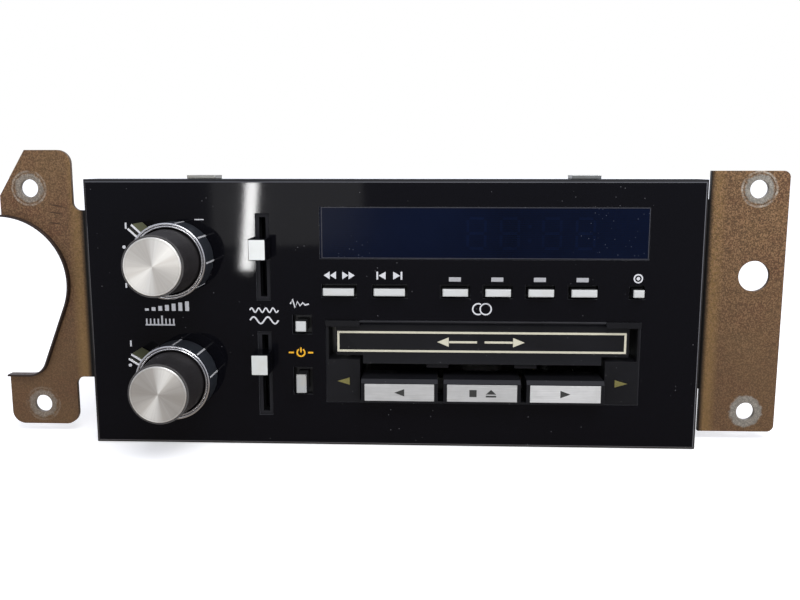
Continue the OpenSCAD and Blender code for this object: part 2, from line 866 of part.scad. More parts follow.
module left_bracket() {
    color("#8c6d3f") mirror([1, 0, 0]) difference() {
        union() {
            bracket_sheet(upper_ear_top) difference() {
                left_outline();
                notch(0);
            }
            through(bracket_y - notch_lip, bracket_y + bracket_t) intersection() {
                left_outline();
                difference() {
                    notch(notch_lip_t);
                    notch(0);
                }
            }
        }
        for (z = [bolt_low_z, bolt_high_z]) translate([bolt_left_x, 0, z])
            along_y(bolt_d, bracket_y - notch_lip - 1, bracket_y + bracket_t + 1);
        for (z = left_screw_zs) translate([leg_face + bracket_t, leg_screw_y, z]) side_hole();
    }
}

// Fascia and what is set into it
function well_w(key) = key[2] + 2 * key[6];
function well_h(key) = key[3] + 2 * key[7];

module key_well(key) {
    translate([key[0], 0, key[1]]) through(-1, fascia_t + 1) centred(well_w(key), well_h(key));
}

module fascia() {
    color("#0b0b0e") difference() {
        union() {
            difference() {
                translate([0, 0, fascia_h / 2]) bevelled(fascia_w, fascia_h, 0, fascia_depth, fascia_bevel);
                block([fascia_wall - fascia_w / 2, fascia_w / 2 - fascia_wall], [fascia_t, fascia_depth + 1],
                    [fascia_wall, fascia_h - fascia_wall]);
            }
            for (p = board_posts) translate([p[0], 0, p[1]]) along_y(post_d, fascia_t - 0.5, board_face);
        }
        translate([deck_x, 0, display_z]) through(-1, fascia_t + 1) centred(display_w, display_h);
        translate([deck_x, 0, surround_low_z + surround_h / 2]) through(-1, fascia_t + 1)
            centred(surround_w + 2 * fit, surround_h + 2 * fit);
        at_knobs() along_y(fascia_bore, -1, fascia_t + 1);
        at_sliders() {
            through(-1, slot_recess) centred(slot_w + 2 * slot_border, slot_len + 2 * slot_border);
            through(-1, fascia_t + 1) centred(slot_w, slot_len);
        }
        for (key = all_keys) key_well(key);
    }
}

module display_lens() {
    color("#101830") translate([deck_x, 0, display_z]) {
        through(lens_inset, fascia_t) centred(display_w - 2 * fit, display_h - 2 * fit);
        through(fascia_t, fascia_t + lens_rim_t) centred(display_w + 2 * lens_rim, display_h + 2 * lens_rim);
    }
}

module display_tube() {
    tube_w = display_w - 2 * tube_margin;
    tube_h = display_h - 1;
    color("#31434a") translate([deck_x, 0, display_z]) {
        bevelled(tube_w, tube_h, tube_front, board_face, 0.8);
        translate([0, (tube_front + board_face) / 2, 0]) along_x(3, tube_w / 2 - 1, tube_w / 2 + 3);
    }
}

module front_board() {
    color("#2f5d3a") through(board_face, board_back) {
        translate([board_left, board_step_z]) square([board_right - board_left, board_high_z - board_step_z]);
        translate([board_left, board_low_z])
            square([board_leg_right - board_left, board_step_z - board_low_z]);
    }
}

module key_switches() {
    color("#3a3a3d") for (key = all_keys) translate([key[0], 0, key[1]]) {
        plunger = key_rear + key[5] + fit;
        through(plunger + plunger_len, board_face) centred(switch_side, switch_side);
        along_y(plunger_d, plunger, board_face);
    }
}

module slide_controls() {
    color("#b4b6b5") at_sliders() difference() {
        through(slide_case_front, board_face) centred(slide_case_w, slide_case_len);
        through(slide_case_front - 1, slide_case_front + slide_slot_depth) centred(slot_w, slot_len);
    }
}

module main_board() {
    half = inner_x - board_side_gap;
    color("#6f6a35") {
        block([-half, half], [main_front, main_rear], [main_z, main_z + board_t]);
        for (i = [0:3]) translate([capacitor_x + i * capacitor_pitch, main_rear - capacitor_in, main_z])
            cylinder(d = capacitor_d, h = board_t + capacitor_h);
        for (i = [0:4]) translate([coil_x + i * coil_pitch, main_front + coil_in, 0])
            block([0, coil_side], [0, coil_side], [main_z, main_z + board_t + coil_h]);
    }
}

module tuner_module() {
    color("#c2c6c6") difference() {
        block([tuner_x, tuner_x + tuner_w], [tuner_y, tuner_y + tuner_len], [sheet_t, sheet_t + tuner_h]);
        for (i = [0:2]) translate([tuner_x + tuner_w / 2, tuner_y + trim_in + i * trim_pitch, sheet_t])
            translate([0, 0, tuner_h - trim_depth]) cylinder(d = trim_d, h = trim_depth + 1);
    }
}

// Rotary controls
module control_body(z) {
    color("#9d9a92") translate([-knob_x, 0, z]) difference() {
        union() {
            along_y(bush_d, bush_front, control_front);
            along_y(control_d, control_front, control_front + control_len);
            block([-control_foot_w / 2, control_foot_w / 2],
                [control_front + 5, control_front + control_len - 3], [-control_d / 2 - control_foot, 0]);
        }
        along_y(bush_bore, bush_front - 1, sleeve_end + fit);
        along_y(shaft_d + 2 * run_gap, bush_front - 1, shaft_end + fit);
    }
}

module control_nuts() {
    color("#bfc1c0") at_knobs() translate([0, case_front - nut_t, 0]) rotate([-90, 0, 0]) difference() {
        cylinder(d = nut_af / cos(30), h = nut_t, $fn = 6);
        translate([0, 0, -1]) cylinder(d = bush_d + fit, h = nut_t + 2);
    }
}

module control_shaft(z) {
    color("#c9cbcc") translate([-knob_x, 0, z]) along_y(shaft_d, shaft_start, shaft_end);
}

module knob(z) {
    knob_face = cap_t - cap_inset - knob_front;
    color("#141416") translate([-knob_x, 0, z]) difference() {
        translate([0, knob_face, 0]) rotate([-90, 0, 0])
            cylinder(d1 = knob_face_d, d2 = knob_base_d, h = knob_rear - knob_face);
        along_y(cap_d + fit, knob_face - 1, knob_face + cap_inset);
        along_y(shaft_d + 2 * shaft_fit, shaft_start, 0);
    }
}

module knob_cap(z) {
    color("#d5d7d6") translate([-knob_x, 0, z]) along_y(cap_d, -knob_front, cap_t - knob_front);
}

module pointer_ring(z, angle) {
    color("#17171a") translate([-knob_x, 0, z]) difference() {
        union() {
            along_y(ring_d, -ring_front, ring_rear);
            along_y(sleeve_d, ring_floor, sleeve_end);
            for (i = [0:ring_ribs - 1]) rotate([0, -angle - (i + 0.5) * 360 / ring_ribs, 0])
                block([0, ring_d / 2 + rib_h], [rib_back - ring_front, ring_rear], [-rib_w / 2, rib_w / 2]);
            rotate([0, -angle, 0])
                block([0, tab_reach], [tab_back - ring_front, ring_rear], [-tab_w / 2, tab_w / 2]);
        }
        along_y(ring_in_d, -ring_front - 1, ring_floor);
        along_y(shaft_d + 2 * run_gap, -ring_front - 1, sleeve_end + 1);
        rotate([0, -angle, 0])
            block([ring_d / 2 + tab_groove_out, tab_reach + 1], [-ring_front - 1, tab_groove - ring_front],
                [-tab_groove_w / 2, tab_groove_w / 2]);
    }
}

// Tone sliders
module tone_slider(z) {
    color("#121214") translate([-slider_x, 0, z]) {
        bevelled(slider_w, slider_h, -slider_front, slider_rear, 0.25);
        through(slider_rear - 0.5, stem_end) centred(stem_w, stem_h);
    }
}

// Push keys
module push_key(key) {
    flange_front = fascia_t + flange_gap;
    color("#d9d6cb") translate([key[0], 0, key[1]]) {
        bevelled(key[2], key[3], -key[4], flange_front + flange_t, key_bevel);
        through(flange_front, flange_front + flange_t)
            centred(well_w(key) + 2 * flange_rim, well_h(key) + 2 * flange_rim);
        through(flange_front, key_rear) centred(key_stub_w, key_stub_w);
    }
}

// Cassette front
module arrow(grow) {
    polygon([
        [-arrow_len / 2 - 1.5 * grow, 0], [arrow_len / 2 + grow, -arrow_h / 2 - grow],
        [arrow_len / 2 + grow, arrow_h / 2 + grow],
    ]);
}

module at_arrows() {
    for (side = [0, 1]) translate([deck_x, 0, arrow_z]) mirror([side, 0, 0])
        translate([arrow_in - surround_w / 2, 0, 0]) children();
}

module mouth_outline() {
    wide_half = surround_w / 2 - side_wall;
    wide_high_z = surround_high_z - surround_rail;
    translate([deck_x - wide_half, side_block_z]) square([2 * wide_half, wide_high_z - side_block_z]);
    translate([deck_x - mouth_half, surround_low_z + surround_rail])
        square([2 * mouth_half, side_block_z - surround_low_z]);
}

module cassette_surround() {
    mid_z = surround_low_z + surround_h / 2;
    color("#101013") difference() {
        translate([deck_x, 0, mid_z]) {
            bevelled(surround_w, surround_h, surround_front, surround_rear, surround_bevel);
            through(fascia_t, fascia_t + surround_rim_t)
                centred(surround_w + 2 * surround_rim, surround_h + 2 * surround_rim);
        }
        through(surround_front - 1, surround_rear + 1) mouth_outline();
        translate([deck_x, pivot_y, pivot_z])
            along_x(pivot_d + 2 * run_gap, -door_half - pivot_in - slide_gap,
                door_half + pivot_in + slide_gap);
        at_arrows() through(surround_front - 1, arrow_depth + fit) arrow(fit);
    }
    color("#1a1a1d") for (side = [-1, 1])
        translate([deck_x + side * (surround_w - side_block_w) / 2, 0, surround_high_z - corner_drop / 2])
            through(corner_front, corner_rear) centred(side_block_w, corner_drop);
}

module direction_lenses() {
    color("#8f8a3c") at_arrows() through(surround_front, arrow_depth) arrow(0);
}

module cassette_door() {
    color("#0e0e10") {
        block([deck_x - door_half, deck_x + door_half], [door_front, door_rear], [door_low_z, pivot_z]);
        across(deck_x - tongue_half, deck_x + tongue_half) polygon([
            [door_front, door_low_z + 0.2], [door_front - tongue_flare, tongue_low_z],
            [door_rear - tongue_flare, tongue_low_z], [door_rear, door_low_z + 0.2],
        ]);
        for (s = [-1, 1]) translate([deck_x + s * (transport_pitch / 2 + tongue_lug_out), 0, 0])
            block([-tongue_lug_w / 2, tongue_lug_w / 2], [door_front, door_rear - tongue_flare],
                [tongue_low_z - tongue_lug, tongue_low_z + 0.5]);
        translate([0, pivot_y, pivot_z]) {
            along_x(door_t, deck_x - door_half, deck_x + door_half);
            along_x(pivot_d, deck_x - door_half - pivot_in, deck_x + door_half + pivot_in);
        }
    }
}

function transport_x(n) = deck_x + n * transport_pitch;

module transport_key(n) {
    mid = transport_low_z + transport_h / 2;
    top = transport_low_z + transport_h;
    color("#101013") translate([transport_x(n), 0, 0]) difference() {
        union() {
            across(-transport_w / 2, transport_w / 2) polygon([
                [-transport_front, transport_low_z], [-transport_front, top - transport_bevel],
                [1.3 * transport_bevel - transport_front, top], [transport_rear, top],
                [transport_rear, transport_low_z],
            ]);
            block([-lever_w / 2, lever_w / 2], [transport_rear - 1, lever_end], [lever_z, lever_z + lever_h]);
        }
        translate([0, 0, plate_z()]) through(-transport_front - 1, plate_inset - transport_front)
            centred(plate_w + fit, plate_h + fit);
    }
}

function plate_z() = transport_low_z + (transport_h - transport_bevel) / 2 + 0.2;

module transport_plate(n) {
    color("#c9cac8") translate([transport_x(n), 0, plate_z()])
        through(plate_inset - plate_t - transport_front, plate_inset - transport_front)
            centred(plate_w, plate_h);
}

// Tape deck
module deck_frame() {
    color("#a4a7a5") difference() {
        union() {
            block([deck_left, deck_right], [deck_front, deck_rear], [deck_z, deck_top]);
            block([deck_left, deck_x + deck_window_half - 2], [deck_front, deck_front + deck_t],
                [deck_z, guide_z]);
            for (p = deck_posts) translate([p[0], p[1], sheet_t])
                cylinder(d = deck_post_d, h = deck_top - sheet_t);
            for (y = post_guide_ys) translate([post_guide_x, y, deck_z])
                cylinder(d = post_guide_d, h = post_guide_top - deck_z);
            for (y = reel_ys) translate([reel_x, y, deck_z])
                cylinder(d = reel_pin_d, h = spindle_top - reel_cap - deck_z);
            for (y = capstan_ys) translate([capstan_x, y, deck_z])
                cylinder(d = bearing_d, h = bearing_top - deck_z);
            for (s = [-1, 1]) translate([bridge_pin_x, tape_mid_y + s * bridge_pin_y, deck_z])
                cylinder(d = bridge_pin_d, h = bridge_top + 1 - deck_z);
        }
        for (n = [-1:1]) translate([transport_x(n), 0, lever_z + lever_h / 2])
            through(deck_front - 1, deck_front + deck_t + 1)
                centred(lever_w + 2 * slide_gap, lever_h + 2 * slide_gap);
        for (y = capstan_ys) translate([capstan_x, y, deck_z - 1])
            cylinder(d = capstan_d + 2 * run_gap, h = bearing_top - deck_z + 2);
        translate([motor_x, motor_y, deck_z - 1]) cylinder(d = motor_shaft_d + 4, h = deck_t + 2);
    }
}

module cassette_carriage() {
    outer = carriage_half + carriage_t;
    floor_z = [carriage_low, mouth_z];
    all_y = [carriage_front, carriage_stop + carriage_t];
    color("#8f9290") difference() {
        union() {
            block([deck_x - outer, deck_x + outer], all_y, [carriage_top, carriage_top + carriage_t]);
            for (side = [0, 1]) translate([deck_x, 0, 0]) mirror([side, 0, 0])
                block([carriage_half, outer], all_y, [carriage_low, carriage_top]);
            block([deck_x - outer, deck_x - outer + carriage_lip], all_y, floor_z);
            block([deck_x + outer - carriage_lip, deck_x + outer], all_y, floor_z);
            block([deck_x - outer, deck_x + outer], [carriage_stop, carriage_stop + carriage_t],
                [mouth_z, carriage_top]);
            for (y = post_guide_ys) block([post_guide_x - post_guide_d, deck_x - carriage_half],
                [y - post_guide_d, y + post_guide_d], [carriage_low, carriage_low + ear_h]);
        }
        block([deck_x + carriage_half - carriage_lip, deck_x + outer + 1], carriage_window,
            [carriage_low - 1, mouth_z + carriage_window_h]);
        for (y = post_guide_ys) translate([post_guide_x, y, carriage_low - 1])
            cylinder(d = post_guide_d + 2 * run_gap, h = ear_h + 2);
    }
}

module reel_spindle(y) {
    base_low = deck_top + slide_gap;
    color("#e4e2da") translate([reel_x, y, 0]) difference() {
        union() {
            translate([0, 0, base_low]) cylinder(d = reel_base_d, h = reel_base_t);
            translate([0, 0, base_low]) cylinder(d = reel_hub_d, h = spindle_top - base_low);
            for (i = [0:reel_fins - 1]) rotate(i * 360 / reel_fins)
                block([reel_hub_d / 2 - fin_root, reel_hub_d / 2 + fin_reach], [-fin_w / 2, fin_w / 2],
                    [base_low + reel_base_t / 2, spindle_top - reel_cap]);
        }
        translate([0, 0, deck_z])
            cylinder(d = reel_pin_d + 2 * run_gap, h = spindle_top - reel_cap + fit - deck_z);
    }
}

module capstan_flywheel(y) {
    color("#b99a52") translate([capstan_x, y, 0]) {
        translate([0, 0, flywheel_low]) cylinder(d = flywheel_d, h = flywheel_high - flywheel_low);
        translate([0, 0, flywheel_low]) cylinder(d = flywheel_hub_d, h = deck_z - slide_gap - flywheel_low);
        translate([0, 0, flywheel_low]) cylinder(d = capstan_d, h = spindle_top - flywheel_low);
    }
}

module deck_motor() {
    color("#9fa3a6") translate([motor_x, motor_y, deck_top]) difference() {
        union() {
            cylinder(d = motor_d, h = motor_h);
            cylinder(d = motor_d / 3, h = motor_h + 2);
        }
        translate([0, 0, -1]) cylinder(d = motor_shaft_d + 2 * run_gap, h = motor_h);
    }
}

module motor_pulley() {
    color("#c7a75a") translate([motor_x, motor_y, 0]) {
        translate([0, 0, pulley_low]) cylinder(d = pulley_d, h = pulley_high - pulley_low);
        for (z = [pulley_low, pulley_high - pulley_rim_t]) translate([0, 0, z])
            cylinder(d = pulley_d + 2 * pulley_rim, h = pulley_rim_t);
        translate([0, 0, pulley_low]) cylinder(d = motor_shaft_d, h = deck_top + motor_h - 3 - pulley_low);
    }
}

// The belt runs round the motor pulley and the front flywheel, and outside past the rear one,
// so that the two capstans turn opposite ways. Each stop is [centre, radius, side].
belt_stops = [
    [[motor_x, motor_y], pulley_d / 2, -1],
    [[capstan_x, capstan_ys[1]], flywheel_d / 2, 1],
    [[capstan_x, capstan_ys[0]], flywheel_d / 2, -1],
];
function stop(i) = belt_stops[(i + 3) % 3];
function belt_r(i) = stop(i)[2] * (stop(i)[1] + belt_gap + belt_t / 2);
function leave_angle(i) = let (d = stop(i + 1)[0] - stop(i)[0])
    atan2(d[1], d[0]) + asin((belt_r(i) - belt_r(i + 1)) / norm(d));
function turn(i) = let (a = leave_angle(i) - leave_angle(i - 1), side = stop(i)[2])
    side > 0 ? (a < 0 ? a + 360 : a) : (a > 0 ? a - 360 : a);
function belt_edge(shift) = [
    for (i = [0:2], k = [0:belt_steps])
        let (a = leave_angle(i - 1) + turn(i) * k / belt_steps - 90, r = belt_r(i) - shift)
        stop(i)[0] + r * [cos(a), sin(a)],
];

module drive_belt() {
    color("#1b1b1b") up(belt_low, belt_high) difference() {
        polygon(belt_edge(belt_t / 2));
        polygon(belt_edge(-belt_t / 2));
    }
}

module bridge_slot(w) {
    translate([0, -w / 2]) square([bridge_travel, w]);
    for (x = [0, bridge_travel]) translate([x, 0]) circle(d = w);
}

module head_bridge() {
    color("#b0b3b1") difference() {
        union() {
            block([bridge_left, bridge_right], [tape_mid_y - bridge_half, tape_mid_y + bridge_half],
                [bridge_low, bridge_top]);
            for (y = capstan_ys) translate([roller_x, y, 0]) {
                translate([0, 0, bridge_low]) cylinder(d = roller_pin_d, h = roller_high + 0.8 - bridge_low);
                translate([0, 0, bridge_low])
                    cylinder(d = roller_seat_d, h = roller_low - slide_gap - bridge_low);
            }
        }
        for (s = [-1, 1]) translate([bridge_pin_x, tape_mid_y + s * bridge_pin_y, 0])
            up(bridge_low - 1, bridge_top + 1) bridge_slot(bridge_pin_d + 2 * slide_gap);
    }
}

module tape_head() {
    color("#c9ccce") translate([0, tape_mid_y, 0]) up(bridge_top, roller_high) {
        translate([head_nose + head_w / 4, -head_w / 2]) square([head_back - head_nose - head_w / 4, head_w]);
        translate([head_nose + head_w / 4, 0]) intersection() {
            scale([0.5, 0.5]) circle(head_w);
            translate([-head_w / 4, -head_w / 2]) square([head_w / 2, head_w]);
        }
    }
}

module pinch_roller(y) {
    color("#26262a") translate([roller_x, y, roller_low]) difference() {
        cylinder(d = roller_d, h = roller_high - roller_low);
        translate([0, 0, -1]) cylinder(d = roller_pin_d + 2 * run_gap, h = roller_high - roller_low + 2);
    }
}

place() chassis();
place() top_cover();
place() left_bracket();
place() right_bracket();
place() case_screws();
place() heat_sink();
place() antenna_socket();
place() wiring_sockets();
place() fascia();
place() display_lens();
place() cassette_surround();
place() direction_lenses();
place() display_tube();
place() front_board();
place() key_switches();
place() slide_controls();
place() main_board();
place() tuner_module();
place() control_body(upper_knob_z);  // volume_control
place() control_body(lower_knob_z);  // tune_control
place() control_nuts();
place() control_shaft(upper_knob_z);  // volume_shaft
place() knob(upper_knob_z);  // volume_knob
place() knob_cap(upper_knob_z);  // volume_knob_cap
place() pointer_ring(upper_knob_z, upper_tab_angle);  // balance_ring
place() control_shaft(lower_knob_z);  // tune_shaft
place() knob(lower_knob_z);  // tune_knob
place() knob_cap(lower_knob_z);  // tune_knob_cap
place() pointer_ring(lower_knob_z, lower_tab_angle);  // fader_ring
place() tone_slider(treble_z + treble_rest);  // treble_slider
place() tone_slider(bass_z + bass_rest);  // bass_slider
place() push_key(scan_key);  // scan_button
place() push_key(seek_key);  // seek_button
place() push_key(preset_key(0));  // preset_button_1
place() push_key(preset_key(1));  // preset_button_2
place() push_key(preset_key(2));  // preset_button_3
place() push_key(preset_key(3));  // preset_button_4
place() push_key(set_key);  // set_button
place() push_key(noise_key);  // noise_filter_button
place() push_key(power_key);  // power_button
place() cassette_door();
place() transport_key(-1);  // reverse_button
place() transport_plate(-1);  // reverse_plate
place() transport_key(0);  // eject_button
place() transport_plate(0);  // eject_plate
place() transport_key(1);  // forward_button
place() transport_plate(1);  // forward_plate
place() deck_frame();
place() cassette_carriage();
place() reel_spindle(reel_ys[0]);  // reel_spindle_front
place() reel_spindle(reel_ys[1]);  // reel_spindle_rear
place() capstan_flywheel(capstan_ys[0]);  // flywheel_front
place() capstan_flywheel(capstan_ys[1]);  // flywheel_rear
place() drive_belt();
place() deck_motor();
place() motor_pulley();
place() head_bridge();
place() tape_head();
place() pinch_roller(capstan_ys[0]);  // pinch_roller_front
place() pinch_roller(capstan_ys[1]);  // pinch_roller_rear
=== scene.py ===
"""Looks of a dash-mounted car cassette radio.

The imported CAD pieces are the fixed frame. Each operator finishes one group of them: it softens their
edges, gives them a procedural finish, and adds the thin pieces that sit on them, such as printed marks.
"""

import json
import math

import bpy
from mathutils import Matrix, Quaternion, Vector


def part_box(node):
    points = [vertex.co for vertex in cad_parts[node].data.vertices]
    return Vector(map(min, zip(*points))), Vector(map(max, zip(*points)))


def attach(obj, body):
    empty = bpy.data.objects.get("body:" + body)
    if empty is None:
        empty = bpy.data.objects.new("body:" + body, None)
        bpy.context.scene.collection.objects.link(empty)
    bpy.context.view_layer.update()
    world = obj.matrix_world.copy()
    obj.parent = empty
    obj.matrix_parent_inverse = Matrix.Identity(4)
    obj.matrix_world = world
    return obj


bl_info = {
    "name": "Car cassette radio",
    "version": (1, 0, 0),
    "blender": (4, 5, 0),
    "location": "View3D > Sidebar > Radio",
    "description": "Finishes, printed marks and studio of a dash-mounted cassette radio",
    "category": "Object",
}

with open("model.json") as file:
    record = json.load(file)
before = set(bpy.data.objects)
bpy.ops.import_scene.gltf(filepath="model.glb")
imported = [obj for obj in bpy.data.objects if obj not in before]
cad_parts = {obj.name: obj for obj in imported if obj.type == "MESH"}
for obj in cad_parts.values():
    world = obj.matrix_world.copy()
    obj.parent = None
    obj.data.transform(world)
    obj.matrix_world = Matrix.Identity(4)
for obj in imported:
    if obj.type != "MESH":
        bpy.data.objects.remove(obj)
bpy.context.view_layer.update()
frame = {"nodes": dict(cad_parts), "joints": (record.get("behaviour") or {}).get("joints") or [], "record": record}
MM = 0.001
FASCIA_LOW, FASCIA_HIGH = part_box("fascia")
# Middle of the lower edge of the fascia's face, from which print is laid out in millimetres
PANEL = Vector(((FASCIA_LOW.x + FASCIA_HIGH.x) / 2, FASCIA_LOW.y, FASCIA_LOW.z))
JOINTS = {joint["name"]: joint for joint in frame["joints"]}
MOUNTS = {mount["name"]: mount for mount in frame["record"]["mounts"]}
ROW_KEYS = [
    "scan_button", "seek_button", "preset_button_1", "preset_button_2", "preset_button_3",
    "preset_button_4", "set_button",
]


def tone(red, green, blue):
    """Linear colour of a screen colour given from 0 to 255."""
    return tuple(
        c / 255 / 12.92 if c <= 10 else ((c / 255 + 0.055) / 1.055) ** 2.4 for c in (red, green, blue)
    )


def scaled(base, *factors):
    """Colour times one factor, or times one factor each for red, green and blue."""
    if len(factors) == 1:
        factors *= 3
    return tuple(factor * part for factor, part in zip(factors, base))


def colour(label, description, *screen):
    """Colour property with a screen colour as its default."""
    return bpy.props.FloatVectorProperty(
        name=label, description=description, default=tone(*screen), size=3, min=0, max=1, subtype="COLOR"
    )


def number(label, description, default, **limits):
    """Number property."""
    return bpy.props.FloatProperty(name=label, description=description, default=default, **limits)


def length(label, description, millimetres):
    """Length property with its default given in millimetres."""
    return number(label, description, millimetres * MM, min=0, precision=5, unit="LENGTH")


def share(label, description, default):
    """Property for an amount from none to all."""
    return number(label, description, default, min=0, max=1, subtype="FACTOR")


class RadioColours(bpy.types.PropertyGroup):
    """Colours of the moulded, plated and printed pieces"""

    fascia: colour("Fascia", "Polished black of the fascia", 7, 7, 11)
    window: colour("Window", "Smoked acrylic of the display window", 2, 6, 21)
    satin: colour("Satin black", "Cassette surround, door and transport keys", 17, 17, 20)
    knob: colour("Knob", "Matt black of the knob skirts", 44, 41, 42)
    cap: colour("Knob cap", "Spun aluminium of the knob caps", 252, 251, 246)
    # Bright trim also colours the ring ribs, partly as plating and partly as painted glints.
    chrome: colour("Bright trim", "Trim, ribs and tab lines of the pointer rings", 232, 232, 234)
    ring: colour("Pointer ring", "Satin black of the pointer rings", 42, 45, 50)
    # The tab flanks' olive colour is partly a painted reflection.
    tab: colour("Pointer tab", "Flanks of the pointer tabs", 96, 97, 74)
    plate: colour("Key plate", "Brushed metal of the transport key plates", 222, 222, 220)
    key: colour("Key", "Off-white of the push keys", 182, 183, 181)
    slider: colour("Slider face", "White of the slider faces", 208, 210, 206)
    white_ink: colour("White print", "Marks on the fascia", 196, 196, 198)
    grey_ink: colour("Grey print", "Bars over the preset keys", 160, 160, 162)
    amber_ink: colour("Amber print", "Mark of the power key", 222, 164, 24)
    gold_ink: colour("Gold print", "Outline and arrows of the cassette door", 190, 185, 165)
    arrow: colour("Arrow lens", "Olive amber of the direction arrows", 104, 98, 55)
    zinc: colour("Zinc sheet", "Plated sheet of the case and the deck", 176, 178, 175)
    bracket: colour("Bracket brown", "Aged plating of the brackets", 114, 87, 58)
    bracket_red: colour("Bracket russet", "Plating that has gone redder", 103, 70, 50)
    bracket_gold: colour("Bracket gold", "Brighter plating near the bracket bends", 140, 110, 66)
    washer: colour("Washer mark", "Bare metal where washers have rubbed", 164, 160, 150)


class RadioPrint(bpy.types.PropertyGroup):
    """Sizes of the printed marks"""

    rise: length("Ink thickness", "How far print stands on its face", 0.025)
    sink: length("Ink overlap", "How far print is let into its face", 0.008)
    window_line: length("Window outline", "Line round the display window", 0.24)
    door_line: length("Door outline", "Gold line round the cassette door", 0.62)


class RadioWear(bpy.types.PropertyGroup):
    """Age and use that show on the surfaces"""

    edge: length("Edge radius", "Softened edge of the fascia and the cassette front", 0.14)
    dust: share("Dust", "Share of the gloss surfaces that dust specks take", 0.007)
    smudge: share("Smudges", "Strength of the smears on gloss surfaces", 0.5)
    washer: length("Washer radius", "Radius of the rubbed ring at each bolt hole", 4.65)


class RadioStage(bpy.types.PropertyGroup):
    """Camera and light of the studio"""

    camera: bpy.props.FloatVectorProperty(
        name="Camera", description="Place of the camera", default=(0.014784, -0.320671, 0.082887),
        size=3, subtype="TRANSLATION", unit="LENGTH",
    )
    tilt: number("Tilt", "How far the camera looks down", math.radians(9.006), unit="ROTATION")
    turn: number("Turn", "How far the camera looks to the left", math.radians(2.382), unit="ROTATION")
    lens: number("Lens", "Focal length for a 36 mm wide sensor", 38.28, unit="CAMERA")
    front: number("Front light", "Brightness of the room in front of the radio", 0.32, min=0)
    back: number("Back light", "Brightness of the room behind and over the radio", 0.8, min=0)
    key_power: number("Key light", "Power of the softbox over the front", 1.5, min=0, unit="POWER")
    panel_power: number("Panel light", "Power of the dim panel at the front left", 0.034, min=0, unit="POWER")
    strip_power: number("Strip light", "Power of the strip at the front left", 0.19, min=0, unit="POWER")


# Nodes, and signals that run between them
class Signal:
    """Number, vector or colour that a node puts out, so that sums of signals read as sums."""

    def __init__(self, tree, socket):
        self.tree = tree
        self.socket = socket

    def __add__(self, other):
        return maths("ADD", self, other)

    def __sub__(self, other):
        return maths("SUBTRACT", self, other)

    def __rsub__(self, other):
        return maths("SUBTRACT", other, self)

    def __mul__(self, other):
        return maths("MULTIPLY", self, other)

    def __abs__(self):
        return maths("ABSOLUTE", self)


def fit(thing, **settings):
    """Set values of a thing by their names, and hand it back."""
    for name, value in settings.items():
        setattr(thing, name, value)
    return thing


def add_object(name, data, **settings):
    """Add data to the scene as an object."""
    made = fit(bpy.data.objects.new(name, data), **settings)
    bpy.context.scene.collection.objects.link(made)
    return made


def feed(socket, value):
    """Link a signal to an input, or set the input's own value."""
    if isinstance(value, Signal):
        value.tree.links.new(value.socket, socket)
    elif socket.type == "RGBA" and len(value) == 3:
        socket.default_value = (*value, 1)
    else:
        socket.default_value = value


def outputs(tree, kind, inputs, **settings):
    """Add a shader node with its settings and inputs, and give its output sockets."""
    made = fit(tree.nodes.new("ShaderNode" + kind), **settings)
    for key, value in (inputs or {}).items():
        feed(made.inputs[key], value)
    return made.outputs


def signal(tree, key, kind, inputs=None, **settings):
    """Signal from one output of a new node."""
    return Signal(tree, outputs(tree, kind, inputs, **settings)[key])


def signals(tree, kind, inputs, **settings):
    """Signals from all outputs of a new node, by name."""
    return {socket.name: Signal(tree, socket) for socket in outputs(tree, kind, inputs, **settings)}


def maths(operation, *values):
    """Result of a Math node, or of a Vector Math node where the signals are vectors."""
    known = next(value for value in values if isinstance(value, Signal))
    kind = "VectorMath" if known.socket.type == "VECTOR" else "Math"
    return signal(known.tree, 0, kind, dict(enumerate(values)), operation=operation)


def front_distance(vector):
    """Length of a vector as the front shows it, without its depth."""
    return signal(vector.tree, "Value", "VectorMath", {0: vector * (1, 0, 1)}, operation="LENGTH")


def remap(value, low, high, to_low=0.0, to_high=1.0):
    """Value carried from one range to another, and held inside it."""
    inputs = {"Value": value, "From Min": low, "From Max": high, "To Min": to_low, "To Max": to_high}
    return signal(value.tree, "Result", "MapRange", inputs)


def between(mask, none, full):
    """Value that goes from one amount to another as a mask goes from 0 to 1."""
    return remap(mask, 0, 1, none, full)


def mixed(factor, first, second):
    """Colour mixed from two colours."""
    return signal(factor.tree, 2, "Mix", {0: factor, 6: first, 7: second}, data_type="RGBA")


def noise(vector, scale, detail=3.0, roughness=0.55):
    """Value of a noise texture."""
    inputs = {"Vector": vector, "Scale": scale, "Detail": detail, "Roughness": roughness}
    return signal(vector.tree, 0, "TexNoise", inputs)


def cells(vector, scale, randomness=1.0, **settings):
    """Outputs of a cell texture."""
    inputs = {"Vector": vector, "Scale": scale, "Randomness": randomness}
    return signals(vector.tree, "TexVoronoi", inputs, **settings)


def axes(vector):
    """The three parts of a vector, by their letters."""
    return signals(vector.tree, "SeparateXYZ", {0: vector})


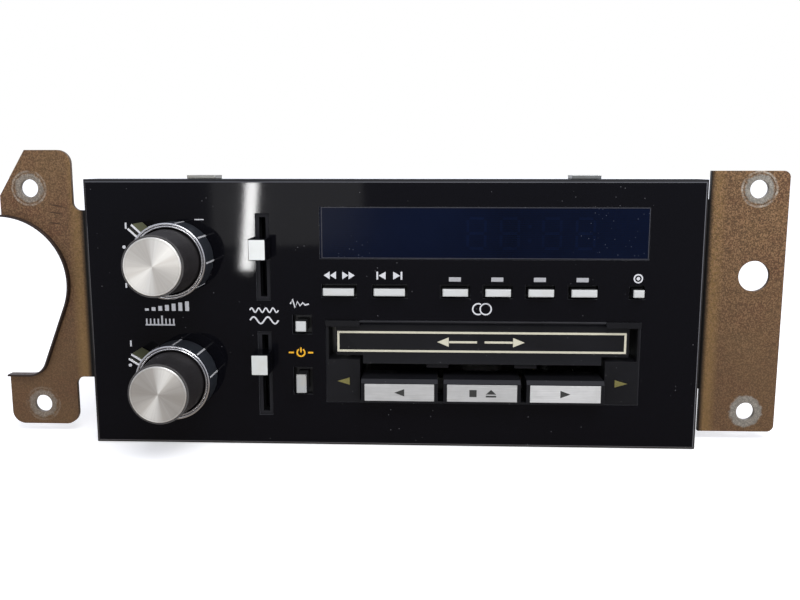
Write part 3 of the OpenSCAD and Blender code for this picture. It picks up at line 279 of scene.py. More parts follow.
class Finish:
    """Material in the making. Plain values are set on the shader's own sockets."""

    def __init__(self, name, **constants):
        self.material = bpy.data.materials.new(name)
        self.material.use_nodes = True
        self.tree = self.material.node_tree
        self.shader = self.tree.nodes["Principled BSDF"].inputs
        # Coordinates in metres that stay with the piece
        self.coords = signal(self.tree, "Object", "TexCoord")
        for key, value in constants.items():
            self.shader[key.replace("_", " ").title().replace("Ior", "IOR")].default_value = value

    def normal(self, kind="Normal"):
        """Direction that the surface faces."""
        return signal(self.tree, kind, "NewGeometry")

    def shared(self, effect, **inputs):
        """Outputs of a shared effect, placed in this material with its own values."""
        return signals(self.tree, "Group", inputs, node_tree=bpy.data.node_groups[effect])

    def patches(self, scale, low, high):
        """Mask of soft-edged patches."""
        return self.shared("Patches", Coordinates=self.coords, Scale=scale, Low=low, High=high)["Mask"]

    def specks(self, scale, amount):
        """Mask of scattered specks."""
        return self.shared("Specks", Coordinates=self.coords, Scale=scale, Amount=amount)["Mask"]

    def hairlines(self, stretch, low, high):
        """Mask of fine lines."""
        inputs = {"Coordinates": self.coords, "Stretch": stretch, "Low": low, "High": high}
        return self.shared("Hairlines", **inputs)["Lines"]

    def raised(self, height, distance, strength):
        """Raise the surface by a height, with the distance of full height in metres."""
        inputs = {"Height": height, "Distance": distance, "Strength": strength}
        feed(self.shader["Normal"], signal(self.tree, "Normal", "Bump", inputs))

    def grained(self, scale, distance, strength):
        """Raise the surface by the grain of a satin moulding."""
        grain = self.shared("Moulded grain", Coordinates=self.coords, Scale=scale)
        self.raised(grain["Height"], distance, strength)

    def painted(self, base, layers, rough):
        """The material with a colour, layers over it that are each a mask and a colour, and a roughness."""
        for mask, over in layers:
            base = mixed(mask, base, over)
        feed(self.shader["Base Color"], base)
        feed(self.shader["Roughness"], rough)
        return self.material


# Effects that several finishes share
def effect(name, filled, **inputs):
    """Start a shader node group: the signals that it is given, and the sockets that it fills."""
    tree = bpy.data.node_groups.new(name, "ShaderNodeTree")
    for label, default in inputs.items():
        kind = "NodeSocketVector" if isinstance(default, tuple) else "NodeSocketFloat"
        socket = tree.interface.new_socket(label, in_out="INPUT", socket_type=kind)
        socket.default_value = default
    for label in filled:
        tree.interface.new_socket(label, in_out="OUTPUT", socket_type="NodeSocketFloat")
    given = tree.nodes.new("NodeGroupInput").outputs
    return [Signal(tree, given[label]) for label in inputs], tree.nodes.new("NodeGroupOutput").inputs


def make_patches():
    """Soft-edged patches, for tarnish, smears and uneven colour."""
    inputs = {"Coordinates": (0, 0, 0), "Scale": 40.0, "Low": 0.4, "High": 0.6}
    (coords, scale, low, high), filled = effect("Patches", ["Mask"], **inputs)
    feed(filled["Mask"], remap(noise(coords, scale, 6.0, 0.6), low, high))


def make_specks():
    """Small scattered specks, for dust and pits."""
    inputs = {"Coordinates": (0, 0, 0), "Scale": 1500.0, "Amount": 0.01}
    (coords, scale, amount), filled = effect("Specks", ["Mask"], **inputs)
    scattered = cells(coords, scale)
    chosen = maths("LESS_THAN", axes(scattered["Color"])["X"], amount)
    feed(filled["Mask"], remap(scattered["Distance"], 0.3, 0.1) * chosen)


def make_hairlines():
    """Fine lines drawn out along one direction, for rolling, brushing and scratches."""
    inputs = {"Coordinates": (0, 0, 0), "Stretch": (60, 4000, 4000), "Low": 0.4, "High": 0.6}
    (coords, stretch, low, high), filled = effect("Hairlines", ["Lines"], **inputs)
    feed(filled["Lines"], remap(noise(coords * stretch, 1.0, 2.0, 0.7), low, high))


def make_moulded_grain():
    """Fine spark-eroded texture of a satin moulding."""
    inputs = {"Coordinates": (0, 0, 0), "Scale": 2600.0}
    (coords, scale), filled = effect("Moulded grain", ["Height"], **inputs)
    feed(filled["Height"], cells(coords, scale)["Distance"] + noise(coords, scale, 2.0))


def make_edge_wear_and_highlight():
    """Where a front face turns into a side, for edges painted as wear and as a highlight: all that has turned, and
    the rounded corner alone.
    """
    (normal,), filled = effect("Edge wear and highlight", ["Turned", "Corner"], Normal=(0, -1, 0))
    facing = abs(axes(normal)["Y"])
    turned = remap(facing, 0.97, 0.75)
    feed(filled["Turned"], turned)
    feed(filled["Corner"], turned * remap(facing, 0.12, 0.3))


def make_washer_wear():
    """Rubbed disc round a bolt hole, the dark line pressed at its edge with painted shadow in it, and the pale
    scuff beyond.
    """
    inputs = {"Coordinates": (0, 0, 0), "Centre": (0, 0, 0), "Radius": 5 * MM}
    (coords, centre, radius), filled = effect("Washer wear", ["Disc", "Line", "Scuff"], **inputs)
    reach = front_distance(coords - centre)
    cloud = noise(coords, 700.0, 5.0) - 0.5
    feed(filled["Disc"], remap(reach + cloud * (2.0 * MM), radius, radius - 0.7 * MM))
    past_edge = reach + cloud * (0.5 * MM) - radius
    broken = remap(noise(coords, 210.0), 0.36, 0.56)
    feed(filled["Line"], remap(abs(past_edge), 0.26 * MM, 0.08 * MM) * broken)
    scuff = remap(abs(past_edge - 0.42 * MM), 0.42 * MM, 0.2 * MM)
    feed(filled["Scuff"], scuff * broken)


# Finishes
def gloss_moulding(name, base, wear, face=None):
    """Polished plastic with smears, dust and wiping marks. Behind a face's depth its recesses are dull, with their
    walls painted lighter as sheen; its front edges are painted light grey as wear and as a painted highlight.
    """
    finish = Finish(name, specular_ior_level=0.2)
    smear = finish.patches(26.0, 0.45, 0.75)
    wiped = finish.hairlines((300, 300, 2600), 0.6, 0.8)
    rough = smear * (wear.smudge * 0.06) + wiped * 0.03 + 0.035
    layers = [(finish.specks(1600.0, smear * (wear.dust * 5)) * 0.35, (0.25, 0.25, 0.26))]
    if face is not None:
        behind = remap(axes(finish.coords)["Y"], face + 0.2 * MM, face + 0.35 * MM)
        rough = maths("MAXIMUM", rough, behind * 0.5)
        normal = finish.normal()
        turned = finish.shared("Edge wear and highlight", Normal=normal)["Turned"]
        # Front edges painted light grey: wear, plus a painted edge highlight that is stronger on edges facing
        # right, towards the light.
        edge_wear_and_highlight = turned * remap(axes(normal)["X"], -0.5, 0.5, 0.15, 0.6)
        layers += [
            # Recess walls painted lighter than recess floors: painted sheen.
            (behind, mixed(turned, tone(29, 29, 33), tone(16, 16, 18))),
            (edge_wear_and_highlight * (1.0 - behind), tone(112, 113, 118)),
        ]
    finish.raised(noise(finish.coords, 900.0, 5.0, 0.8), 0.005 * MM, 0.3)
    return finish.painted(base, layers, rough)


def smoked_window(name, base, wear, node):
    """Dark acrylic over a display: faint grid wires show through, and dust has settled near its ends."""
    finish = Finish(name, specular_ior_level=0.13)
    wire_pitch = 0.62 * MM
    wires = maths("SINE", axes(finish.coords)["Z"] * (2 * math.pi / wire_pitch))
    shade = finish.patches(24.0, 0.35, 0.7)
    low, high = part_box(node)
    heaps = []
    for across, up, reach, thick in ((0.12, 0.14, 7 * MM, 1.0), (0.9, 0.5, 16 * MM, 0.45)):
        heap = low + Vector((across * (high.x - low.x), 0, up * (high.z - low.z)))
        heaps.append(remap(front_distance(finish.coords - heap), reach, 1 * MM, 0.0, thick))
    layers = [
        (shade, scaled(base, 1.9)),
        (remap(wires, 0.2, 1.0, 0.0, 0.5), scaled(base, 2.2)),
        (finish.specks(1900.0, maths("MAXIMUM", *heaps) * (wear.dust * 30)) * 0.25, (0.25, 0.28, 0.36)),
    ]
    finish.raised(noise(finish.coords, 300.0, 4.0, 0.6), 0.02 * MM, 0.2)
    return finish.painted(base, layers, between(shade, 0.1, 0.17))


def satin_moulding(name, base, worn=1.5, rough=0.46, grain=0.016):
    """Spark-eroded plastic, a little polished where fingers rub it, with its front corners painted grey as rubbing
    wear and as a painted edge highlight.
    """
    finish = Finish(name, specular_ior_level=0.2)
    rub = finish.patches(70.0, 0.4, 0.75)
    layers = [
        (rub, scaled(base, worn)),
        # Front corners painted grey: rubbing wear and a painted edge highlight.
        (finish.shared("Edge wear and highlight", Normal=finish.normal())["Corner"] * 0.13, tone(84, 84, 90)),
        (finish.specks(1700.0, 0.02) * 0.22, (0.3, 0.3, 0.3)),
    ]
    finish.grained(2600.0, grain * MM, 0.6)
    return finish.painted(base, layers, between(rub, rough, rough - 0.1))


def pale_moulding(name, base, soil=(0.36, 0.31, 0.2), soiled=0.35, carrier=None):
    """Off-white plastic that has yellowed a little and holds some dirt, black from a carrier's depth on."""
    finish = Finish(name, specular_ior_level=0.45)
    aged = finish.patches(210.0, 0.5, 0.8)
    layers = [(aged * soiled, soil), (finish.specks(1900.0, 0.05) * 0.4, soil)]
    if carrier is not None:
        behind = remap(axes(finish.coords)["Y"], carrier, carrier + 0.1 * MM)
        layers.append((behind, (0.012, 0.012, 0.013)))
    finish.grained(3200.0, 0.008 * MM, 0.5)
    return finish.painted(base, layers, between(aged, 0.36, 0.5))


def plated_sheet(name, base, stain=(0.5, 0.42, 0.27), stained=0.4, along=(50, 50, 2400), rough=0.36):
    """Rolled and zinc-plated sheet with dull patches and rolling lines."""
    finish = Finish(name, metallic=1.0)
    dull = finish.patches(42.0, 0.4, 0.72)
    fine = finish.patches(520.0, 0.3, 0.7)
    layers = [(dull * stained, stain), (finish.specks(620.0, 0.05) * 0.4, (0.16, 0.13, 0.1))]
    finish.raised(finish.hairlines(along, 0.3, 0.7), 0.006 * MM, 0.6)
    return finish.painted(base, layers, dull * 0.14 + (rough - 0.06) + fine * 0.1)


def aged_bracket(name, colours, wear, washers, face, fold, grain, scratches):
    """Passivated sheet gone brown and mottled: golden by its fold, and bare under the bolt washers. Painted shade
    darkens the fold, the surfaces that turn from the front and the lower part, and the lip in front of the face is
    dark as a raw edge with painted shade.
    """
    finish = Finish(name, metallic=0.45)
    parts = axes(finish.coords)
    reach = abs(parts["X"] - PANEL.x)
    depth = parts["Y"] - face
    height = parts["Z"] - PANEL.z
    facing = abs(axes(finish.normal("True Normal"))["Y"])
    mottle = finish.patches(1850.0, 0.42, 0.6)
    speck = finish.patches(2350.0, 0.47, 0.6)
    faded = finish.patches(300.0, 0.4, 0.62) * 0.45
    coarse = remap(height, 22 * MM, 62 * MM, 0.4 * grain, grain)
    near_gold = remap(abs(reach - (fold + 1.6 * MM)), 3.0 * MM, 0.6 * MM, 0.0, 0.8)
    # Fold by the case darkened to near black: painted shade in the fold.
    fold_shade = remap(reach, fold + 0.9 * MM, fold - 0.5 * MM) * remap(depth, 9 * MM, 3 * MM)
    brown, washer = colours.bracket, colours.washer
    layers = [
        (finish.patches(64.0, 0.36, 0.64), colours.bracket_red),
        (faded, scaled(brown, 0.75, 0.85, 0.95)),
        # Darker towards the bottom: painted shade, where less light falls.
        (remap(height, 66 * MM, 20 * MM, 0.0, 0.4), scaled(brown, 0.72, 0.7, 0.78)),
        (near_gold, colours.bracket_gold),
        (mottle * coarse * 0.7, scaled(brown, 0.42)),
        (speck * coarse * 0.85, scaled(brown, 2.1, 2.15, 2.4)),
        # Surfaces that turn away from the front, such as bends, are darkened: painted shade.
        (remap(facing, 0.8, 0.4, 0.0, 0.6), scaled(brown, 0.3)),
        # The lip in front of the face is dark: a raw sheet edge, with painted shade on its side.
        (remap(depth, -0.1 * MM, -0.25 * MM), tone(58, 46, 40)),
        (fold_shade, tone(12, 9, 7)),
    ]
    slope = 0.16
    for x, z in scratches:
        offset = axes(finish.coords - (PANEL + Vector((x, 0, z)) * MM))
        along = remap(abs(offset["X"] - offset["Z"] * slope), 2.3 * MM, 1.3 * MM, 0.0, 0.75)
        beside = remap(abs(offset["X"] * slope + offset["Z"]), 0.32 * MM, 0.08 * MM)
        layers.append((along * beside, scaled(brown, 0.2)))
    worn = {}
    for centre, rubbed, ringed, spread in washers:
        inputs = {"Coordinates": finish.coords, "Centre": centre, "Radius": wear.washer + spread}
        ring = finish.shared("Washer wear", **inputs)
        for mark, amount in (("Disc", rubbed), ("Line", ringed), ("Scuff", ringed)):
            strength = ring[mark] * amount
            worn[mark] = maths("MAXIMUM", worn[mark], strength) if mark in worn else strength
    metal = mixed(speck, scaled(washer, 0.65), scaled(washer, 1.15))
    layers += [
        (worn["Disc"] * 0.95, mixed(faded, metal, scaled(washer, 0.6))),
        # Dark line at each washer's edge: a pressed groove, with painted shadow in it.
        (worn["Line"] * 0.65, scaled(brown, 0.35)),
        (worn["Scuff"] * between(mottle, 0.75, 0.25), (0.58, 0.54, 0.46)),
    ]
    finish.raised(speck * 0.25 - worn["Line"], 0.05 * MM, 0.6)
    return finish.painted(brown, layers, between(mottle, 0.4, 0.56))


def spun_metal(name, base, node, seed, lean, half):
    """Disc turned on a lathe, with fine streaks, a painted highlight shaped as an hourglass that leans by an
    angle, and a bright rim that is a painted highlight.
    """
    finish = Finish(name, metallic=0.9, anisotropic=0.65, anisotropic_rotation=0.25)
    low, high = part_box(node)
    edge = (high.x - low.x) / 2
    offset = finish.coords - (low + high) / 2
    radius = front_distance(offset)
    parts = axes(offset)
    turn = (maths("ARCTAN2", parts["Z"], parts["X"]) - math.radians(lean)) * 2.0
    around = {"X": maths("COSINE", turn), "Y": maths("SINE", turn), "Z": seed}
    ray = signal(finish.tree, 0, "CombineXYZ", around)
    # Outside the hourglass of painted highlight the cap is darker; lean and half are that highlight's angle and
    # half width in degrees.
    away = maths("ARCCOSINE", around["X"]) * 0.5
    dark = remap(away, math.radians(half - 7), math.radians(half + 7))
    wide = remap(noise(ray, 1.5, 5.0, 0.62), 0.42, 0.58)
    thin = remap(noise(ray, 14.0, 4.0, 0.7), 0.35, 0.65)
    groove = abs(radius - (edge - 0.62 * MM))
    layers = [
        (dark * 0.4 + wide * 0.2, scaled(base, 0.62, 0.58, 0.54)),
        (thin * 0.18, scaled(base, 0.6)),
        (remap(groove, 0.2 * MM, 0.05 * MM, 0.0, 0.16), scaled(base, 0.5)),
        # Bright rim: painted highlight on the cap's edge.
        (remap(radius, edge - 0.46 * MM, edge - 0.34 * MM, 0.0, 0.6), base),
    ]
    feed(finish.shader["Tangent"], signal(finish.tree, 0, "Tangent", direction_type="RADIAL", axis="Y"))
    return finish.painted(base, layers, between(thin, 0.32, 0.4))


def knurled_skirt(name, base, node):
    """Matt knob skirt with a fine crossed knurl for grip, and its front rim painted grey as rubbing wear and as a
    painted edge highlight.
    """
    finish = Finish(name, specular_ior_level=0.25)
    low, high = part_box(node)
    grooves, pitch = 84, 0.8 * MM
    parts = axes(finish.coords - (low + high) / 2)
    turn = maths("ARCTAN2", parts["Z"], parts["X"]) * grooves
    run = parts["Y"] * (2 * math.pi / pitch)
    knurl = maths("SINE", turn + run) * maths("SINE", turn - run)
    rub = finish.patches(160.0, 0.4, 0.75)
    # Front rim painted grey: rubbing wear and a painted edge highlight.
    rim = remap(axes(finish.coords)["Y"], low.y + 0.7 * MM, low.y + 0.4 * MM)
    layers = [
        (remap(knurl, -0.5, 0.8, 0.0, 0.6), mixed(rub, base, scaled(base, 1.35))),
        (rim, tone(70, 68, 67)),
    ]
    finish.raised(knurl, 0.06 * MM, 0.5)
    return finish.painted(scaled(base, 0.5), layers, between(rub, 0.56, 0.44))


def ring_shape(node, knob_node):
    """Measures of a pointer ring: its axis, front depth, outer radius, and the way its tab points."""
    low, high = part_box(knob_node)
    axis = (low + high) / 2
    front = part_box(node)[0].y
    offsets = [v.co - axis for v in frame["nodes"][node].data.vertices]
    spokes = [(Vector((o.x, 0, o.z)), o.y + axis.y) for o in offsets]
    radius = max(spoke.length for spoke, depth in spokes if depth < front + 0.05 * MM)
    reach = max(spoke.length for spoke, _ in spokes)
    tip = sum((spoke for spoke, _ in spokes if spoke.length > reach - 0.02 * MM), Vector())
    return axis, front, radius, tip.normalized()


def pointer_ring(name, colours, node, knob_node):
    """Satin black ring with ribs painted bright as plating and as painted glints, and a grooved tab with two
    bright lines, whose flanks carry a painted reflection in their colour.
    """
    finish = Finish(name, specular_ior_level=0.4)
    axis, front, ring_radius, out = ring_shape(node, knob_node)
    offset = finish.coords - axis
    radius = front_distance(offset)
    depth = axes(finish.coords)["Y"] - front
    above = remap(radius, ring_radius + 0.12 * MM, ring_radius + 0.16 * MM)
    beyond = remap(radius, ring_radius + 0.22 * MM, ring_radius + 0.26 * MM)
    inputs = {0: offset, 1: (-out.z, 0, out.x)}
    across = signal(finish.tree, "Value", "VectorMath", inputs, operation="DOT_PRODUCT")
    edges = remap(abs(across), 0.4 * MM, 0.5 * MM)
    lines = edges * remap(depth, 0.6 * MM, 0.5 * MM)
    groove = (1.0 - edges) * remap(depth, 1.15 * MM, 1.0 * MM)
    worn = finish.patches(320.0, 0.56, 0.8)
    # Ribs and tab lines painted bright; on the ribs this is bright plating and painted glints.
    bright = maths("MAXIMUM", above - beyond, lines * beyond) * between(worn, 1.0, 0.5)
    # Tab flanks in the tab colour, which is partly a painted reflection.
    layers = [(beyond, colours.tab), (groove * beyond, tone(16, 16, 15)), (bright, colours.chrome)]
    feed(finish.shader["Metallic"], bright * 0.3)
    finish.grained(2600.0, 0.012 * MM, 0.5)
    return finish.painted(colours.ring, layers, between(worn, 0.36, 0.44) + bright * -0.2)


def brushed_plate(name, base):
    """Foil plate brushed along its length."""
    finish = Finish(name, metallic=0.5, anisotropic=0.5)
    lines = finish.hairlines((160, 5200, 5200), 0.25, 0.75)
    layers = [(lines, base), (finish.patches(190.0, 0.45, 0.8) * 0.3, (0.4, 0.39, 0.36))]
    finish.raised(lines, 0.006 * MM, 0.5)
    return finish.painted(scaled(base, 0.78), layers, between(lines, 0.34, 0.5))


def turned_metal(name, base, rough=0.22):
    """Plated or turned metal with a fine grain and light tarnish."""
    finish = Finish(name, metallic=1.0)
    tarnish = finish.patches(170.0, 0.4, 0.8)
    finish.raised(finish.hairlines((2400, 2400, 2400), 0.4, 0.7), 0.004 * MM, 0.4)
    layers = [(tarnish * 0.4, scaled(base, 0.5))]
    return finish.painted(base, layers, between(tarnish, rough, rough + 0.16))


def circuit_board(name, mask, track):
    """Lacquered board with the relief of its tracks."""
    finish = Finish(name, specular_ior_level=0.5)
    tracks = remap(cells(finish.coords, 190.0, 0.7, distance="CHEBYCHEV")["Distance"], 0.4, 0.46)
    soot = finish.patches(60.0, 0.45, 0.75)
    finish.raised(tracks, 0.05 * MM, 0.6)
    layers = [(tracks, track), (soot * 0.4, scaled(mask, 0.4))]
    return finish.painted(mask, layers, between(soot, 0.3, 0.55))


def printed_ink(name, base, patchy=0.25):
    """Screen print, a little uneven and worn thin in places."""
    finish = Finish(name, specular_ior_level=0.3)
    thin = finish.patches(1500.0, 0.5, 0.8)
    return finish.painted(base, [(thin * patchy, scaled(base, 0.3))], between(thin, 0.42, 0.6))


def dress(material, nodes, edge):
    """Put one finish on CAD pieces, and give them the small edge radius that the real ones have."""
    nearly_flat, sharp = math.radians(0.6), math.radians(35)
    for node in nodes:
        piece = frame["nodes"][node]
        mesh = piece.data
        mesh.materials.clear()
        mesh.materials.append(material)
        if "custom_normal" in mesh.attributes:
            mesh.attributes.remove(mesh.attributes["custom_normal"])
        mesh.shade_smooth()
        fit(piece.modifiers.new("Join split corners", "WELD"), merge_threshold=0.002 * MM)
        cleared = piece.modifiers.new("Clear flat faces", "DECIMATE")
        fit(cleared, decimate_type="DISSOLVE", angle_limit=nearly_flat)
        softened = piece.modifiers.new("Soft edges", "BEVEL")
        fit(softened, width=edge, segments=2, limit_method="ANGLE", angle_limit=sharp, harden_normals=True)


# Outlines in panel millimetres, across and up
def bar(x, z, w, h):
    """Rectangle about its centre."""
    return [(x - w / 2, z - h / 2), (x + w / 2, z - h / 2), (x + w / 2, z + h / 2), (x - w / 2, z + h / 2)]


def arc_points(x, z, r, start, end, steps):
    """Points along part of a circle, between two angles in degrees."""
    turns = [math.radians(start + (end - start) * i / steps) for i in range(steps + 1)]
    return [(x + r * math.cos(turn), z + r * math.sin(turn)) for turn in turns]


def round_bar(x, z, w, h, r):
    """Rectangle with rounded corners."""
    points = []
    for quarter, (side, rise) in enumerate([(1, 1), (-1, 1), (-1, -1), (1, -1)]):
        start = 90 * quarter
        points += arc_points(x + side * (w / 2 - r), z + rise * (h / 2 - r), r, start, start + 90, 6)
    return points


def disc(x, z, r):
    """Circle."""
    return arc_points(x, z, r, 0, 360, 36)[:-1]


def arrow_head(x, z, w, h):
    """Triangle whose tip lies at x + w, so a negative width points left."""
    return [(x, z - h / 2), (x + w, z), (x, z + h / 2)]


def border(x, z, w, h, line):
    """Rectangle with a window in it, which leaves a line."""
    return [bar(x, z, w, h), bar(x, z, w - 2 * line, h - 2 * line)]


def hoop(x, z, r, line):
    """Circle drawn as a line."""
    return [disc(x, z, r), disc(x, z, r - line)]


def arc(x, z, r, line, start, end):
    """Part of a circle drawn as a line, between two angles in degrees."""
    return arc_points(x, z, r, start, end, 28) + arc_points(x, z, r - line, end, start, 28)


def stroke(points, width):
    """Line of a constant width through points."""
    sides = []
    for i, (x, z) in enumerate(points):
        before, after = points[max(i - 1, 0)], points[min(i + 1, len(points) - 1)]
        along = Vector((after[0] - before[0], after[1] - before[1])).normalized() * (width / 2)
        sides.append(((x - along.y, z + along.x), (x + along.y, z - along.x)))
    return [left for left, _ in sides] + [right for _, right in reversed(sides)]


def wave(x, z, w, h, cycles, width, steps=64):
    """Sine wave drawn as a line."""
    shares = [i / steps for i in range(steps + 1)]
    points = [(x + w * (s - 0.5), z + h / 2 * math.sin(2 * math.pi * cycles * s)) for s in shares]
    return stroke(points, width)


def seven_segments(x, z, w, h, line):
    """The seven bars of one digit."""
    half = h / 2
    level = w - line * 1.3
    upright = half - line * 1.3
    flats = [bar(x, z + rise, level, line) for rise in (-half, 0, half)]
    sides = [
        bar(x + side * w / 2, z + rise * half / 2, line, upright) for side in (-1, 1) for rise in (-1, 1)
    ]
    return flats + sides


# Thin pieces on the CAD pieces
def add_piece(name, mesh, body, material):
    """Add a mesh as a piece that rides on a body, with its finish."""
    mesh.materials.clear()
    mesh.materials.append(material)
    piece = add_object(name, mesh)
    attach(piece, body)


def thin_piece(name, outlines, face, body, material, rise, sink, edge=0.0):
    """Add a thin piece of the outlines' shape to a face that looks to the front."""
    drawing = fit(
        bpy.data.curves.new(name, "CURVE"), dimensions="2D", fill_mode="BOTH",
        extrude=(rise + sink) / 2 - edge, bevel_depth=edge, bevel_resolution=2, offset=-edge,
    )
    for outline in outlines:
        line = drawing.splines.new("POLY")
        line.points.add(len(outline) - 1)
        for point, (x, z) in zip(line.points, outline):
            point.co = (x * MM, z * MM, 0, 1)
        line.use_cyclic_u = True
    pattern = add_object(name, drawing)
    evaluated = pattern.evaluated_get(bpy.context.evaluated_depsgraph_get())
    mesh = bpy.data.meshes.new_from_object(evaluated)
    bpy.data.objects.remove(pattern)
    bpy.data.curves.remove(drawing)
    middle = Vector((PANEL.x, face - (rise - sink) / 2, PANEL.z))
    mesh.transform(Matrix.Translation(middle) @ Matrix.Rotation(math.pi / 2, 4, "X"))
    add_piece(name, mesh, body, material)


def print_on(name, outlines, face, body, ink):
    """Print outlines on a face that looks to the front."""
    pen = bpy.context.scene.radio_print
    thin_piece(name, outlines, face, body, ink, pen.rise, pen.sink)


def trim_ring(name, node, knob_node, body, material, steps=96):
    """Add a thin trim with two beads over the front rim of a pointer ring."""
    axis, front, radius, _ = ring_shape(node, knob_node)
    clearance, overhang, skin = 0.14 * MM, 0.06 * MM, 0.03
    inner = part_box(knob_node)[1].x - axis.x + clearance
    outer = radius + overhang
    groove = inner + 0.4 * (outer - inner)
    profile = [(inner, front + 0.2 * MM)]
    for start, end, rise in ((inner, groove, 0.1), (groove, outer, 0.2)):
        for step in range(9):
            turn = math.pi * (1 - step / 8)
            across = (start + end) / 2 + (end - start) / 2 * math.cos(turn)
            profile.append((across, front - (skin + rise * math.sin(turn)) * MM))
    profile.append((outer, front + 0.3 * MM))
    corners, faces, rows = [], [], len(profile)
    for i in range(steps):
        turn = 2 * math.pi * i / steps
        corners += [(axis.x + r * math.cos(turn), y, axis.z + r * math.sin(turn)) for r, y in profile]
        after = (i + 1) % steps
        faces += [
            (i * rows + k, i * rows + k + 1, after * rows + k + 1, after * rows + k) for k in range(rows - 1)
        ]
    mesh = bpy.data.meshes.new(name)
    mesh.from_pydata(corners, [], faces)
    mesh.shade_smooth()
    add_piece(name, mesh, body, material)


def front_face(node):
    """A node's foremost face: middle across and up, width and height in panel millimetres, and its depth."""
    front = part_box(node)[0].y
    corners = [v.co - PANEL for v in frame["nodes"][node].data.vertices if v.co.y < front + 0.02 * MM]
    across = [corner.x / MM for corner in corners]
    up = [corner.z / MM for corner in corners]
    middle_x, middle_z = (min(across) + max(across)) / 2, (min(up) + max(up)) / 2
    return middle_x, middle_z, max(across) - min(across), max(up) - min(up), front


class RADIO_OT_effects(bpy.types.Operator):
    """Make the effects that several finishes share"""

    bl_idname = "radio.effects"
    bl_label = "Shared effects"

    def execute(self, context):
        make_patches()
        make_specks()
        make_hairlines()
        make_moulded_grain()
        make_edge_wear_and_highlight()
        make_washer_wear()
        return {"FINISHED"}


class RADIO_OT_case(bpy.types.Operator):
    """Finish the case, its screws and the fittings at its rear"""

    bl_idname = "radio.case"
    bl_label = "Case and rear fittings"

    def execute(self, context):
        zinc = plated_sheet("Zinc-plated sheet", context.scene.radio_colours.zinc)
        dress(zinc, ["chassis", "top_cover"], 0.2 * MM)
        screw = plated_sheet("Screw steel", (0.52, 0.49, 0.4), stained=0.6, along=(1500, 1500, 1500))
        dress(screw, ["case_screws"], 0.12 * MM)
        anodised = plated_sheet(
            "Black anodised sink", (0.035, 0.035, 0.04), (0.07, 0.065, 0.06), 0.5, (2400, 2400, 50), 0.5
        )
        dress(anodised, ["heat_sink"], 0.2 * MM)
        dress(turned_metal("Nickel plating", (0.7, 0.68, 0.63)), ["antenna_socket"], 0.1 * MM)
        dress(pale_moulding("Natural nylon", (0.6, 0.55, 0.43)), ["wiring_sockets"], 0.1 * MM)
        return {"FINISHED"}


class RADIO_OT_brackets(bpy.types.Operator):
    """Finish the two mounting brackets"""

    bl_idname = "radio.brackets"
    bl_label = "Mounting brackets"

    def execute(self, context):
        colours, wear = context.scene.radio_colours, context.scene.radio_wear
        bolts = MOUNTS["dash_bolts"]
        middle = Vector(bolts["pos_m"])
        half_x = bolts["dims"]["spacing_x_mm"] / 2 * MM
        half_z = bolts["dims"]["spacing_y_mm"] / 2 * MM
        half_sheet = 0.75 * MM
        face = middle.y - half_sheet
        scratches = [(-101.8, 70.8), (-102.3, 68.6), (-102.7, 65.5)]
        # Each rub is down or up, the strength of its disc and of its ring, and how much wider it is
        for node, side, fold, grain, marks, rubs in (
            ("left_bracket", -1, 94.3 * MM, 0.6, scratches, ((-1, 0.5, 0.2, 0.1), (1, 0.7, 0.6, 0.0))),
            ("right_bracket", 1, 93.5 * MM, 1.0, [], ((-1, 0.85, 0.0, 0.5), (1, 0.95, 1.0, 0.0))),
        ):
            washers = [
                (middle + Vector((side * half_x, 0, rise * half_z)), rubbed, ringed, spread * MM)
                for rise, rubbed, ringed, spread in rubs
            ]
            name = "Aged plating " + node
            dress(aged_bracket(name, colours, wear, washers, face, fold, grain, marks), [node], 0.16 * MM)
        return {"FINISHED"}


class RADIO_OT_fascia(bpy.types.Operator):
    """Finish the fascia"""

    bl_idname = "radio.fascia"
    bl_label = "Fascia"

    def execute(self, context):
        wear = context.scene.radio_wear
        gloss = gloss_moulding("Polished black", context.scene.radio_colours.fascia, wear, PANEL.y)
        dress(gloss, ["fascia"], wear.edge)
        return {"FINISHED"}


class RADIO_OT_display(bpy.types.Operator):
    """Finish the display window, and add its outline and its unlit digits"""

    bl_idname = "radio.display"
    bl_label = "Display window"

    def execute(self, context):
        scene = context.scene
        pen, wear, window = scene.radio_print, scene.radio_wear, scene.radio_colours.window
        dress(smoked_window("Smoked acrylic", window, wear, "display_lens"), ["display_lens"], 0.1 * MM)
        dress(pale_moulding("Tube glass", (0.16, 0.2, 0.21), (0.1, 0.1, 0.1)), ["display_tube"], 0.2 * MM)
        x, z, width, height, face = front_face("display_lens")
        digit = {"w": 5.0, "h": 8.6, "line": 0.75}
        digits = []
        for right in (-2.0, 7.5, 19.5, 29.0):
            digits += seven_segments(x + right, z, **digit)
        digits += [disc(x + 13.2, z + rise, 0.55) for rise in (2, -2)]
        unlit = smoked_window("Unlit segments", scaled(window, 1.4), wear, "display_lens")
        thin_piece("unlit_digits", digits, face, "case", unlit, 0.008 * MM, pen.sink)
        line = printed_ink("Window outline", tone(54, 54, 60), 0.8)
        outline = border(x + 0.2, z + 0.05, width - 0.5, height - 0.1, pen.window_line / MM)
        print_on("window_outline", outline, face, "case", line)
        return {"FINISHED"}


